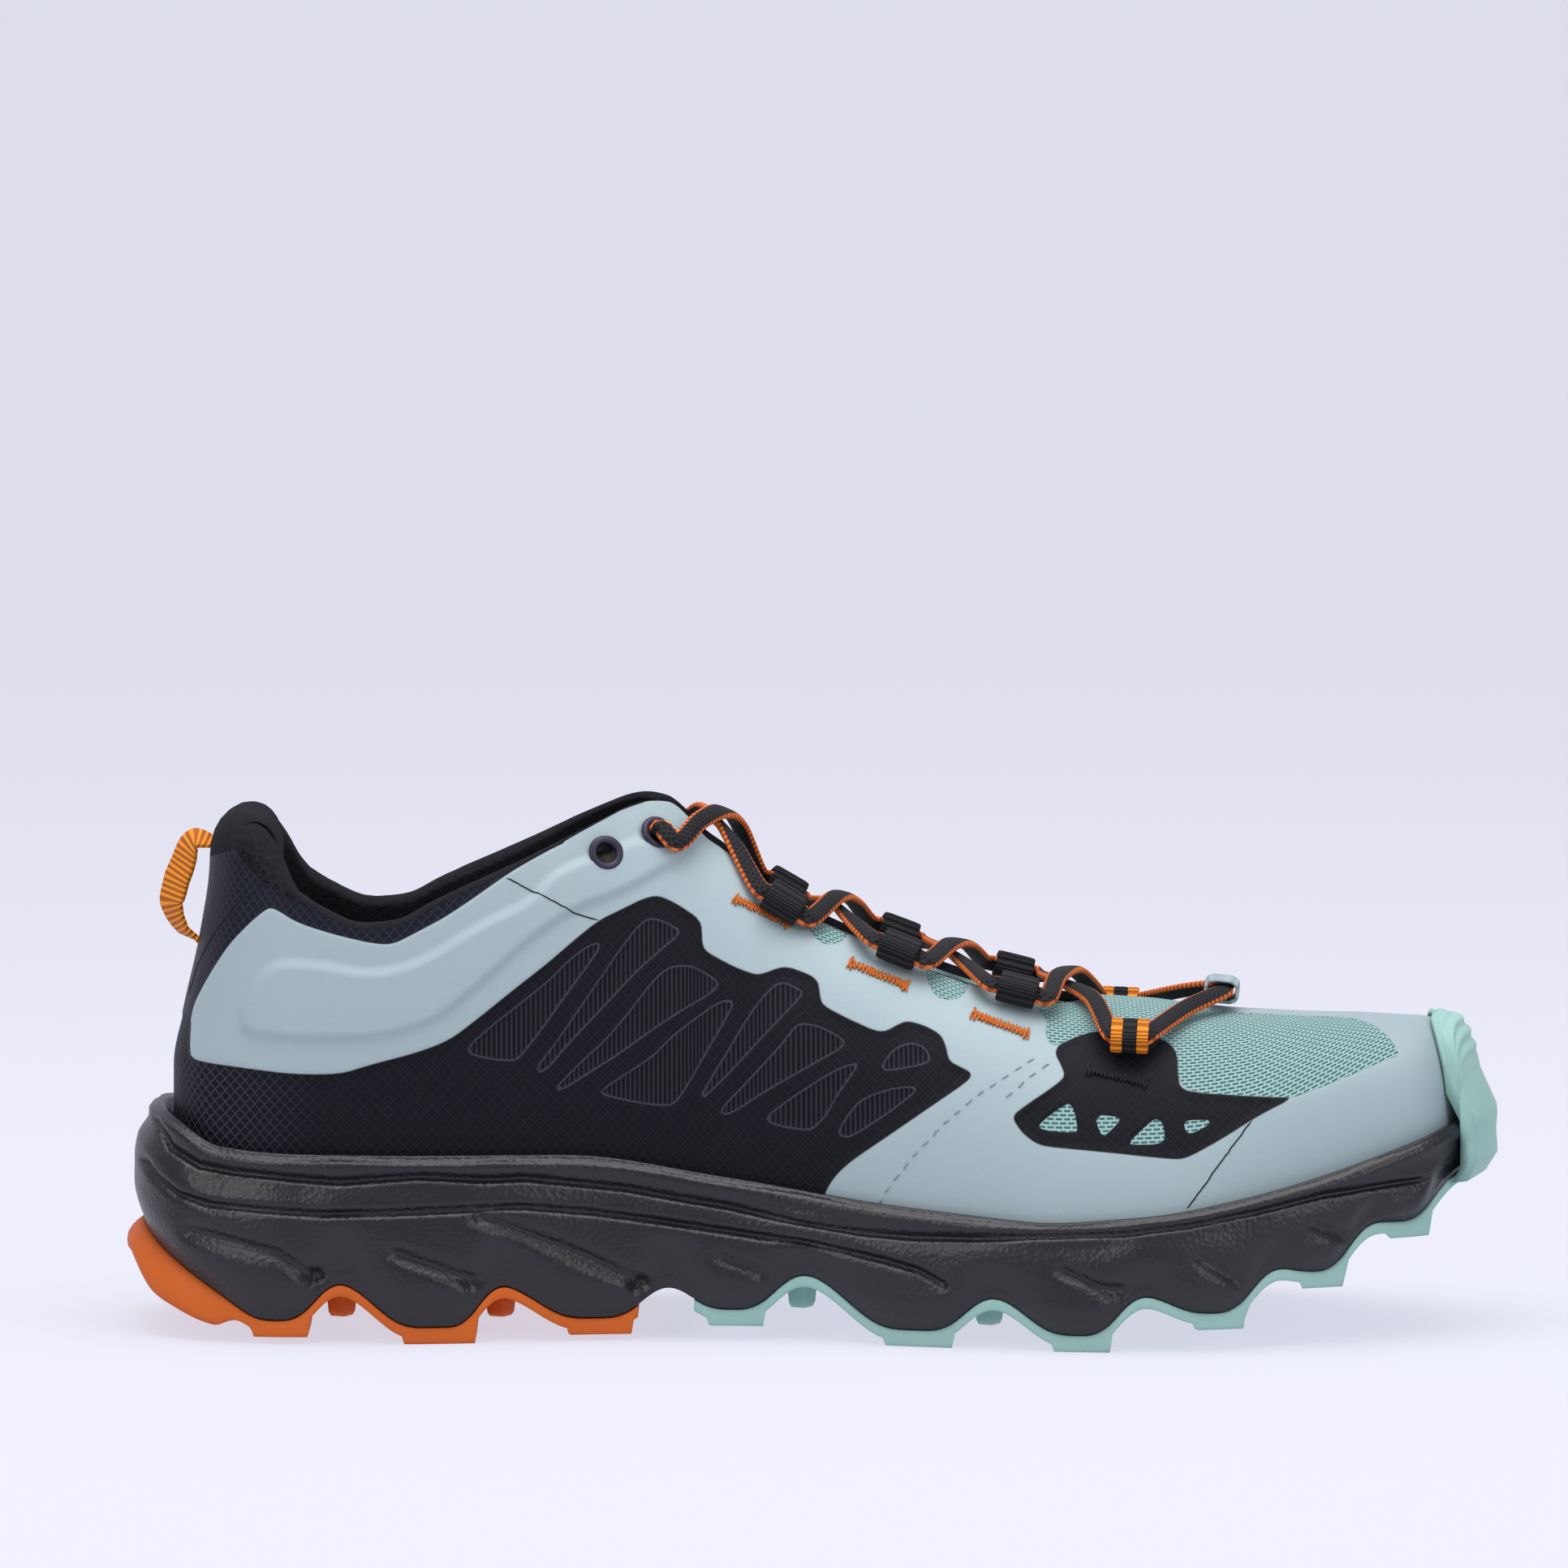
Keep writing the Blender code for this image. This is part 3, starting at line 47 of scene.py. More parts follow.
# Overall sizes
shoeLength = 290 * mm
ballWidth = 103 * mm
heelWidth = 76 * mm
soleHeight = 40 * mm        # top of the midsole's side beside the heel
toeSpring = 34 * mm         # how far the sole's underside rises to its tip
heelHeight = 110 * mm       # top of the collar at the back
instepHeight = 112 * mm     # top of the throat
toeHeight = 66 * mm         # top of the toe box

# Sole
heelWrap = 1.4 * mm         # rubber standing out behind the midsole
rubberDepth = 3.6 * mm      # outsole under a lug
rubberSkin = 2.3 * mm       # outsole between the lugs
lugStep = 0.5 * mm          # slope of a lug's end walls
waveDepth = 9.4 * mm        # how far the gaps between the pods rise
waveAtCentre = 0.55         # share of the wave left along the middle of the sole
bottomTuck = 2.2 * mm       # how far the pods' lower edge lies inside the outline
heelRimLean = 5.3 * mm      # how far the midsole's wall leans in to its top at the heel
rimLip = 1.9 * mm           # thickness of the midsole's wall at its top
innerLug = (5 * mm, 6 * mm)  # length and width of the small lugs in the gaps
bumperWall = 3.6 * mm       # toe bumper

# Upper and what is in it
upperWall = 2.0 * mm
collarPad = 9.0 * mm        # extra wall at the back of the collar
sidePad = 4.5 * mm          # extra wall at the sides of the collar
padDrop = 34 * mm           # how far down the padding reaches
heelCurve = 8.6 * mm        # how far the back of the upper leans forward at its top
toeRound = 12 * mm          # how far the toe box rounds back at its top
sideBulge = 1.6 * mm
insoleDepth = 4.0 * mm
tongueThickness = 3.2 * mm
tongueOverlap = 9 * mm      # how far the tongue runs on under the facings
fit = 0.3 * mm              # gap between pieces that meet
cupFit = 0.6 * mm           # gap between the upper and the midsole's wall

# Lacing
laceWidth = 4.2 * mm
laceThickness = 2.0 * mm
loopLength = 8.2 * mm       # lace loops, measured along the throat
loopWebbing = 0.9 * mm
eyeletRadius = 3.8 * mm
eyeletHole = 2.1 * mm
eyeletBarrel = 0.6 * mm
eyeletFlange = 0.8 * mm
pullWidth = 10 * mm
pullWebbing = 1.3 * mm
pullBulge = 7.5 * mm        # how far the pull loop stands out from the heel

planLength = shoeLength - heelWrap - bumperWall - fit

# Outline of the sole: share of the plan's length, then shares of half the heel's and the ball's width
planTable = rowsOf(
    ("at", "inner heel", "inner ball", "outer heel", "outer ball"),
    (0.000, 0.00, 0.00, 0.00, 0.00), (0.012, 0.50, 0.00, 0.50, 0.00),
    (0.050, 0.84, 0.00, 0.84, 0.00), (0.120, 1.00, 0.00, 1.00, 0.00),
    (0.200, 1.00, 0.00, 0.99, 0.00), (0.290, 0.70, 0.17, 0.75, 0.18),
    (0.380, 0.40, 0.33, 0.45, 0.42), (0.480, 0.20, 0.51, 0.20, 0.66),
    (0.580, 0.00, 0.80, 0.00, 0.91), (0.680, 0.00, 0.94, 0.00, 1.01),
    (0.760, 0.00, 0.98, 0.00, 1.00), (0.840, 0.00, 0.89, 0.00, 0.87),
    (0.910, 0.00, 0.75, 0.00, 0.65), (0.965, 0.00, 0.59, 0.00, 0.38),
    (0.990, 0.00, 0.37, 0.00, 0.15), (1.000, 0.00, 0.11, 0.00, -0.11))

# Side view of the midsole: shares of the sole's height and the toe spring
sideTable = rowsOf(
    ("at", "rim sole", "rim toe", "bed sole", "bed toe", "lean"),
    (0.000, 1.25, 0.00, 0.60, 0.00, 1.00), (0.035, 1.14, 0.00, 0.59, 0.00, 1.00),
    (0.070, 1.02, 0.00, 0.58, 0.00, 0.95), (0.150, 0.99, 0.00, 0.57, 0.00, 0.85),
    (0.320, 0.98, 0.00, 0.56, 0.00, 0.75), (0.440, 0.86, 0.00, 0.52, 0.00, 0.75),
    (0.550, 0.74, 0.00, 0.47, 0.00, 0.70), (0.660, 0.67, 0.00, 0.42, 0.00, 0.65),
    (0.740, 0.63, 0.08, 0.38, 0.06, 0.60), (0.820, 0.57, 0.26, 0.32, 0.20, 0.50),
    (0.885, 0.50, 0.48, 0.22, 0.54, 0.36), (0.945, 0.40, 0.76, 0.10, 0.94, 0.16),
    (1.000, 0.30, 1.04, 0.05, 1.13, 0.06))

# The pods under the sole, heel to toe: the lug's two ends and the gap in front of it as shares of
# the plan's length, heights as shares of the toe spring, and the gap's share of the wave's depth
pods = rowsOf(
    ("lug", "lug end", "lift", "gap", "gap lift", "wave"),
    (0.099, 0.123, 0.044, 0.156, 0.00, 1.02), (0.210, 0.246, 0.000, 0.274, 0.00, 0.94),
    (0.331, 0.361, 0.040, 0.399, 0.00, 0.85), (0.434, 0.458, 0.094, 0.498, 0.07, 0.92),
    (0.564, 0.597, 0.000, 0.637, 0.00, 0.82), (0.687, 0.712, 0.000, 0.746, 0.00, 0.92),
    (0.790, 0.810, 0.138, 0.845, 0.20, 0.75), (0.869, 0.884, 0.370, 0.916, 0.48, 0.64),
    (0.933, 0.949, 0.650, 0.972, 0.70, 0.60))
# The rising back of the sole: shares of the plan's length and the sole's height
heelBevel = rowsOf(
    ("at", "under", "tread"),
    (0.000, 0.63, 0.42), (0.018, 0.50, 0.24), (0.036, 0.41, 0.17), (0.055, 0.32, 0.11),
    (0.077, 0.22, 0.07))
tipLift = 1.06              # underside at the very tip, as a share of the toe spring
heelRubberEnd = 0.377       # shares of the plan's length where the rubber stops at the arch
toeRubberStart = 0.418
bumperStart = 0.982         # share of the plan's length where the toe bumper's sides end
lugLead = 3.4 * mm          # how far a lug runs on past its pod
lugTrail = 1.6 * mm

# The upper's sections: shares of the plan's length, the instep's and toe's heights, and how
# square the section is
ridgeTable = rowsOf(
    ("at", "instep", "toe", "square"),
    (0.000, 1.23, 0.00, 2.7), (0.130, 1.24, 0.00, 2.6), (0.240, 1.21, 0.00, 2.5),
    (0.320, 1.13, 0.00, 2.3), (0.380, 1.040, 0.00, 2.1), (0.420, 0.955, 0.00, 2.0),
    (0.465, 0.850, 0.00, 2.1), (0.500, 0.610, 0.31, 2.2), (0.570, 0.380, 0.565, 2.3),
    (0.630, 0.215, 0.755, 2.3), (0.700, 0.100, 0.890, 2.2), (0.770, 0.040, 0.970, 2.2),
    (0.840, 0.010, 0.990, 2.3), (0.930, 0.000, 1.000, 2.5), (1.000, 0.000, 1.000, 2.7))
# Top of the collar and facing seen from the side: shares of the plan's length and heel's height
collarTable = rowsOf(
    ("at", "top"),
    (0.000, 1.000), (0.060, 1.000), (0.085, 0.985), (0.104, 0.935), (0.123, 0.870), (0.145, 0.830),
    (0.175, 0.800), (0.200, 0.805), (0.225, 0.838), (0.250, 0.868), (0.300, 0.925), (0.345, 0.980),
    (0.385, 1.018), (0.408, 1.005), (0.424, 0.950), (0.430, 1.300), (1.000, 1.300))
# Half the throat's width: shares of the plan's length and of the throat's own half width
throatHalf = 12 * mm
throatTable = rowsOf(
    ("at", "half"),
    (0.405, 0.00), (0.424, 0.60), (0.450, 0.66), (0.476, 0.70), (0.560, 0.95), (0.649, 1.18),
    (0.685, 1.05), (0.705, 0.60), (0.715, 0.00))
# How the heel leans forward going up: shares of the heel's height and the heel's curve
backTable = rowsOf(
    ("up", "lean"),
    (0.00, 0.00), (0.50, 0.00), (0.62, 0.30), (0.75, 0.68), (0.90, 0.95), (1.20, 1.02))
leanEnd = 0.26              # shares of the plan's length where the lean and the toe's round stop
roundStart = 0.78
padEnd = 0.36

# Where the lacing sits: shares of the plan's length, and shares of the throat's half width
# measured sideways from the ridge; the eyelets' heights are shares of the instep's
laceLoops = [{"at": 0.477, "half": 1.06}, {"at": 0.561, "half": 1.30}, {"at": 0.650, "half": 1.56}]
eyelets = [{"at": 0.3545, "up": 0.905}, {"at": 0.3896, "up": 0.936}]
foreLoop = {"at": 0.738, "half": 2.33}
toeLoop = {"at": 0.816, "half": 0.0}
laceLift = 1.7 * mm         # lace above the upper's surface where it lies low
laceOver = 2.5 * mm         # extra lift of the strand that crosses on top
sleeveRoom = 0.8 * mm       # room round the lace in its loops
turnRun = 1.5 * mm          # where the lace turns, beyond the ends of the forefoot loop
turnIn = 1.6 * mm
foreSleeve = 4.2 * mm
toeSleeve = 11 * mm
mouthRun = 2.4 * mm         # straight run of the lace beyond the ends of a lace loop
foreRun = 0.9 * mm          # and beyond the ends of a forefoot loop
# Where the lace passes between its loops: share of the plan's length, then millimetres
# sideways and of extra lift
lacePasses = {"top": [(0.400, 15, 1.6), (0.414, 9, 1.8)], "cross": [(0.684, 8, 0), (0.698, -5, 0)],
              "turn": [(0.712, 15, 0.8), (0.785, 15, 0.8)]}
tongueEnds = (0.408, 0.740)
tongueDepth = 1.1 * mm      # how far the tongue lies under the upper's wall
# The pull loop's path: shares of its bulge outwards and of its height
pullTable = rowsOf(
    ("out", "up"),
    (0.00, 0.00), (0.40, 0.13), (0.80, 0.28), (1.00, 0.42), (0.97, 0.58), (0.80, 0.76),
    (0.58, 0.93), (0.30, 1.00), (0.00, 0.96))
pullLow = 0.735             # foot of the pull loop, as a share of the heel's height
pullHeight = 22 * mm


# One named column of a table
def column(table, name):
    return np.array([row[name] for row in table])


# Vectors divided by their length
def unit(vectors, least=1e-12):
    return vectors / np.maximum(np.linalg.norm(vectors, axis=-1, keepdims=True), least)


# Length run so far at each point of a path
def runAlong(path):
    return np.append(0, np.cumsum(np.linalg.norm(np.diff(path, axis=0), axis=1)))


# Evenly spaced angles of a full turn, the first not repeated
def circle(count):
    return np.linspace(0, 2 * np.pi, count + 1)[:-1]


# A sine or cosine raised to a power with its sign kept, which makes a circle squarish
def squarish(value, power):
    return np.sign(value) * np.abs(value) ** power


# Surface measures of a tube: the run along it and a measure around it
def tubeMeasures(rings, run, around=0.0):
    still = 0 * rings[..., 0]
    return np.stack([run[:, None] + still, around + still], axis=-1)


# Smooth curve through a table that never swings past its own points.
def curve(xs, ys, at):
    xs, ys, at = (np.asarray(v, float) for v in (xs, ys, at))
    step = np.diff(xs)
    rise = np.diff(ys) / step
    slope = np.zeros_like(ys)
    left, right = rise[:-1], rise[1:]
    same = left * right > 0
    w1, w2 = 2 * step[1:] + step[:-1], step[1:] + 2 * step[:-1]
    mean = np.zeros_like(left)
    mean[same] = (w1 + w2)[same] / (w1[same] / left[same] + w2[same] / right[same])
    slope[1:-1] = mean
    slope[0], slope[-1] = rise[0], rise[-1]
    at = np.clip(at, xs[0], xs[-1])
    k = np.clip(np.searchsorted(xs, at, side="right") - 1, 0, len(step) - 1)
    t = (at - xs[k]) / step[k]
    h = step[k]
    return ((2 * t**3 - 3 * t**2 + 1) * ys[k] + (t**3 - 2 * t**2 + t) * h * slope[k]
            + (3 * t**2 - 2 * t**3) * ys[k + 1] + (t**3 - t**2) * h * slope[k + 1])


# A table's column as a smooth curve over its first column
def follow(table, name, at):
    return curve(column(table, list(table[0])[0]), column(table, name), at)


# Smooth step: three times the square less twice the cube
def ease(t):
    t = np.clip(t, 0, 1)
    return t * t * (3 - 2 * t)


# Share of the plan's length at a place along the shoe
def share(x):
    return np.clip((np.asarray(x) - heelWrap) / planLength, 0, 1)


# Angle whose cosine gives a share, so that both ends of the plan come out round.
def turnOf(at):
    return np.arccos(1 - 2 * np.clip(at, 0, 1))


# Half the plan's width on one side: shares of the heel's and the ball's half widths, added up
def halfWidth(side, at):
    name = "inner" if side < 0 else "outer"
    half = (column(planTable, name + " heel") * heelWidth
            + column(planTable, name + " ball") * ballWidth) / 2
    return curve(turnOf(column(planTable, "at")), half, turnOf(at))


# Inner and outer edge of the sole's plan at these shares, moved inwards by inset.
def outline(at, inset):
    edges = []
    for side in (-1, 1):
        fine = np.linspace(0, np.pi, 721)
        x = heelWrap + planLength * (1 - np.cos(fine)) / 2
        y = side * halfWidth(side, (1 - np.cos(fine)) / 2)
        y[0] = 0
        dx, dy = np.gradient(x), np.gradient(y)
        dx[0], dy[0] = 0, side
        dx[-1], dy[-1] = 0, -side
        size = np.hypot(dx, dy)
        turn = turnOf(at)
        nx = np.interp(turn, fine, -side * -dy / size)
        ny = np.interp(turn, fine, -side * dx / size)
        move = inset if np.ndim(inset) else np.full(len(turn), inset)
        px = np.interp(turn, fine, x) + nx * move
        py = np.interp(turn, fine, y) + ny * move
        edges.append(np.stack([px, py], axis=1))
    return edges


# Height of the rim or the footbed: shares of the sole's height and the toe spring, added up
def sideHeight(name, x):
    at = share(x)
    heel = follow(sideTable, name + " sole", at)
    toe = follow(sideTable, name + " toe", at)
    return heel * soleHeight + toe * toeSpring


# How far the midsole's wall leans in to its top: a share of its lean at the heel
def rimLean(at):
    return follow(sideTable, "lean", at) * heelRimLean


# Underside of the midsole along its edge: heel bevel, then pod, gap, pod, gap to the tip.
def underKnots():
    at = list(column(heelBevel, "at"))
    height = list(column(heelBevel, "under") * soleHeight)
    for pod in pods:
        base = pod["lift"] * toeSpring + rubberDepth
        gap = pod["gap lift"] * toeSpring + rubberDepth + pod["wave"] * waveDepth
        at += [pod["lug"], pod["lug end"], pod["gap"]]
        height += [base, base, gap]
    return np.array(at + [1.0]), np.array(height + [tipLift * toeSpring])


# Full wave at the edges of the sole, a share of it along the middle.
def waveFade(across):
    return waveAtCentre + (1 - waveAtCentre) * ease((np.abs(across) - 0.15) / 0.4)


# Mean of the underside at five places close together, which rounds its corners
def underside(x, across):
    shifts = np.array([-2.6, -1.3, 0.0, 1.3, 2.6]) * mm
    return np.mean([sharpUnderside(np.asarray(x) + shift, across) for shift in shifts], axis=0)


# The wave along the sole's edge, drawn towards its mean height along the middle
def sharpUnderside(x, across):
    at, height = underKnots()
    edge = curve(at, height, share(x))
    bases = np.array([pod["lift"] * toeSpring + rubberDepth for pod in pods])
    middles = np.array([(pod["lug"] + pod["lug end"]) / 2 for pod in pods])
    mean = curve(np.append(middles, 1.0), np.append(bases, tipLift * toeSpring), share(x))
    mean = mean + 0.35 * waveDepth
    fade = waveFade(across)
    calm = ease((share(x) - heelBevel[-1]["at"]) / 0.03) * ease((1 - share(x)) / 0.03)
    return edge + (mean - edge) * (1 - fade) * calm


# Bottom of the rubber: a skin under the gaps, and a flat lug under each pod.
def tread(x, across):
    at = share(x)
    bevel = curve(column(heelBevel, "at"), column(heelBevel, "tread") * soleHeight, at)
    skin = underside(x, across) - fit - rubberSkin
    mixed = ease((at - 0.064) / 0.024)
    bottom = bevel * (1 - mixed) + skin * mixed
    fade = waveFade(across)
    for pod in pods:
        start = heelWrap + pod["lug"] * planLength - lugTrail
        end = heelWrap + pod["lug end"] * planLength + lugLead
        inside = np.clip(np.minimum(x - start, end - x) / lugStep + 0.5, 0, 1)
        flat = pod["lift"] * toeSpring + (1 - fade) * 0.35 * waveDepth
        bottom = np.where(inside > 0, bottom + (np.minimum(flat, bottom) - bottom) * inside, bottom)
    return bottom


# A point of the upper's outer surface: a squarish arch from the feather to the ridge.
# up runs from 0 at the feather to 1 at the ridge.
def sectionOfUpper(at, side, up):
    edges = upperEdges(at)
    foot = edges[0] if side < 0 else edges[1]
    middleX = (edges[0][:, 0] + edges[1][:, 0]) / 2
    middle = (edges[0][:, 1] + edges[1][:, 1]) / 2
    low = sideHeight("bed", foot[:, 0]) + fit
    high = (follow(ridgeTable, "instep", at) * instepHeight
            + follow(ridgeTable, "toe", at) * toeHeight)
    power = 2 / follow(ridgeTable, "square", at)
    turn = up * np.pi / 2
    out, rise = np.cos(turn) ** power, np.sin(turn) ** power
    z = low + (high - low) * rise
    bulge = sideBulge * np.sin(2 * turn) * np.sin(np.pi * np.clip(at, 0, 1)) ** 0.5
    y = middle + (foot[:, 1] - middle) * out + side * bulge
    lean = heelCurve * follow(backTable, "lean", z / heelHeight)
    lean = lean * np.clip(1 - at / leanEnd, 0, 1) ** 2
    back = toeRound * (1 - out ** 0.8) * np.clip((at - roundStart) / (1 - roundStart), 0, 1) ** 2
    x = middleX + (foot[:, 0] - middleX) * out + lean - back
    return np.stack([x, y, z], axis=-1)


# The sole's outline moved in by the rim's lean, its thickness and the gap
def upperEdges(at):
    return outline(at, rimLean(at) + rimLip + cupFit)


# Outer surface at every share in at (rows) and every height in up (columns).
def upperSurface(at, side, up):
    rows = [sectionOfUpper(at, side, np.broadcast_to(level, at.shape))
            for level in np.moveaxis(np.broadcast_to(up, (len(at), np.shape(up)[-1])), 1, 0)]
    return np.stack(rows, axis=1)


# Outward normals of that surface, from small steps along it.
def normalsOf(at, side, up):
    small = 1e-3
    ahead = np.clip(at + small, 0, 1)
    behind = np.clip(at - small, 0, 1)
    along = upperSurface(ahead, side, up) - upperSurface(behind, side, up)
    rise = (upperSurface(at, side, np.clip(up + small, 0, 1))
            - upperSurface(at, side, np.clip(up - small, 0, 1)))
    normal = side * np.cross(rise, along)
    for end, way in ((0, -1.0), (-1, 1.0)):
        if at[end] in (0.0, 1.0):
            normal[end] = np.stack([way * rise[end, :, 2], 0 * rise[end, :, 0],
                                    -way * rise[end, :, 0]], axis=-1)
    return unit(normal)


# How far the rounded edge stands above its seam, as a share of the wall there.
def crownShare(at):
    return 0.25 + 0.43 * np.clip(1 - at / 0.12, 0, 1)


# Extra thickness at the collar: thick at the back, thinner at the sides, gone by the throat.
def padAt(at):
    back = collarPad * np.clip(1 - at / 0.14, 0, 1) ** 1.2
    return back + sidePad * ease((padEnd - at) / 0.10)


# Height share where each section meets the collar or the throat, 1 where it is closed.
def topEdge(at, side):
    up = np.linspace(0.0, 1.0, 401)
    points = upperSurface(at, side, up)
    cap = (upperWall + padAt(at)) * crownShare(at)
    collar = follow(collarTable, "top", share(points[..., 0])) * heelHeight
    ridge = points[:, -1:, 1]
    half = follow(throatTable, "half", share(points[..., 0])) * throatHalf
    beyond = points[..., 2] > collar - cap[:, None]
    beyond |= np.abs(points[..., 1] - ridge) < half
    first = np.argmax(beyond, axis=1)
    first[~beyond.any(axis=1)] = len(up) - 1
    return up[first]


# From heel-based measures to the model's frame, centred on the shoe's box.
def place(points):
    middle = (halfWidth(1, np.array([0.7]))[0] - halfWidth(-1, np.array([0.76]))[0]) / 2
    return np.asarray(points) - np.array([shoeLength / 2, middle, 0.0])


# The rubber's side: inside the midsole's edge, but standing out behind the heel.
def wrapOut(at):
    return bottomTuck - (bottomTuck + heelWrap) * (1 - ease(at / 0.09))


# Point, normal and heelwards-to-toe direction of the upper's surface at a share of the plan,
# a sideways distance from the ridge or a height from the floor.
def spotOnUpper(at, side, half=None, height=None):
    at = np.array([float(at)])
    up = np.linspace(0, 1, 801)
    points = sectionOfUpper(np.repeat(at, len(up)), side, up)
    miss = np.abs(points[:, 1] - points[-1, 1]) - half if height is None else height - points[:, 2]
    found = up[np.argmax(miss <= 0)] if (miss <= 0).any() else 1.0
    level = np.array([min(found, 0.9995)])
    normal = normalsOf(at, side, level)[0, 0]
    ahead = upperSurface(at + 2e-3, side, level) - upperSurface(at - 2e-3, side, level)
    along = ahead[0, 0] - normal * (ahead[0, 0] @ normal)
    return upperSurface(at, side, level)[0, 0], normal, along / np.linalg.norm(along)


# The same for a row of the lacing's tables, which gives a height or a sideways distance
def spotOf(row, side):
    if "up" in row:
        return spotOnUpper(row["at"], side, height=row["up"] * instepHeight)
    return spotOnUpper(row["at"], side, half=row["half"] * throatHalf)


# A point above the upper's surface: sideways is signed and measured from the ridge.
def overThroat(at, sideways, lift):
    side = -1 if sideways < 0 else 1
    point, normal, _ = spotOnUpper(at, side, half=abs(sideways))
    return point + normal * lift, normal


# Height of the lace's middle in a loop above the upper's surface.
def sleeveLift():
    return laceThickness / 2 + sleeveRoom + loopWebbing + 4 * fit


# The lace from the inner eyelet through every loop to the outer eyelet, as points and
# normals: it crosses the throat between the loops and turns back through the toe loop.
def laceRoute():
    high = sleeveLift()
    reach = loopLength / 2 + mouthRun

    def onAxis(spot, steps):
        point, normal, along = spot
        return [(point + normal * high + along * step, normal) for step in steps]

    def passing(name, which, side, lift=laceLift):
        at, sideways, more = lacePasses[name][which]
        return overThroat(at, side * sideways * mm, lift + more * mm)

    def strand(side, over):
        eyelet = spotOf(eyelets[1], side)
        rise = 2 * fit + eyeletFlange + laceThickness / 2 + fit
        points = [(eyelet[0] + eyelet[1] * rise, eyelet[1])]
        points += [passing("top", which, side) for which in (0, 1)]
        back, backHalf = lacePasses["top"][1][0], lacePasses["top"][1][1] * mm
        for row in laceLoops:
            lift = laceLift + (laceOver if (side < 0) == over else 0.0)
            front = row["at"] - reach / planLength
            wide = row["half"] * throatHalf
            for t in (0.34, 0.66):
                at = back + t * (front - back)
                points.append(overThroat(at, side * (backHalf * (1 - t) - wide * t), lift))
            side = -side
            spot = spotOf(row, side)
            points += onAxis(spot, (-reach, -reach / 2, 0.0, reach / 2, reach))
            back, backHalf = row["at"] + reach / planLength, wide
        lift = laceLift + (laceOver if (side < 0) == over else 0.0)
        points += [passing("cross", which, side, lift) for which in (0, 1)]
        side = -side
        spot = spotOf(foreLoop, side)
        inwards = turnIn * np.cross(spot[1], spot[2]) * -side
        reachFore = foreSleeve / 2 + foreRun
        corner = onAxis(spot, (-reachFore - turnRun, reachFore + turnRun))
        points.append(passing("turn", 0, side))
        points.append((corner[0][0] + inwards, spot[1]))
        points += onAxis(spot, (-reachFore, 0.0, reachFore))
        points.append((corner[1][0] + inwards, spot[1]))
        points.append(passing("turn", 1, side))
        spot = spotOf(toeLoop, 1)
        sideways = np.cross(spot[1], spot[2])
        for step in (toeSleeve / 2 + 1.2 * mm, toeSleeve / 4):
            points.append((spot[0] + spot[1] * high + sideways * step * side, spot[1]))
        return points

    first, second = strand(-1, True), strand(1, True)
    route = first + second[::-1]
    return np.array([p for p, _ in route]), np.array([n for _, n in route])


# Evenly spaced samples of a smooth curve through points, and values carried with them.
def through(points, values, spacing):
    ends = np.vstack([2 * points[0] - points[1], points, 2 * points[-1] - points[-2]])
    more = np.vstack([values[0], values, values[-1]])
    places, carried = [], []
    t = np.linspace(0, 1, 24, endpoint=False)[:, None]
    for a, b in zip(range(len(points) - 1), range(1, len(points))):
        p0, p1, p2, p3 = ends[a:a + 4]
        places.append(0.5 * (2 * p1 + (p2 - p0) * t + (2 * p0 - 5 * p1 + 4 * p2 - p3) * t**2
                             + (3 * p1 - p0 - 3 * p2 + p3) * t**3))
        carried.append(more[a + 1] * (1 - t) + more[b + 1] * t)
    places = np.vstack(places + [points[-1:]])
    carried = np.vstack(carried + [values[-1:]])
    run = runAlong(places)
    at = np.linspace(0, run[-1], int(run[-1] / spacing))
    pick = lambda rows: np.column_stack([np.interp(at, run, rows[:, k]) for k in range(3)])
    return pick(places), pick(carried)


# The photo's view: places in it are in pixels, and its outlines are used on both sides of the shoe
photoLeft = 155             # back of the heel
photoFloor = 1655           # the ground under the shoe's near side
photoScale = 5820           # pixels to a metre
photoTilt = 0.096           # how far a place rises in view for each metre it lies farther off
photoSize = 1932
nearSide = 0.042            # metres from the shoe's middle to its near side

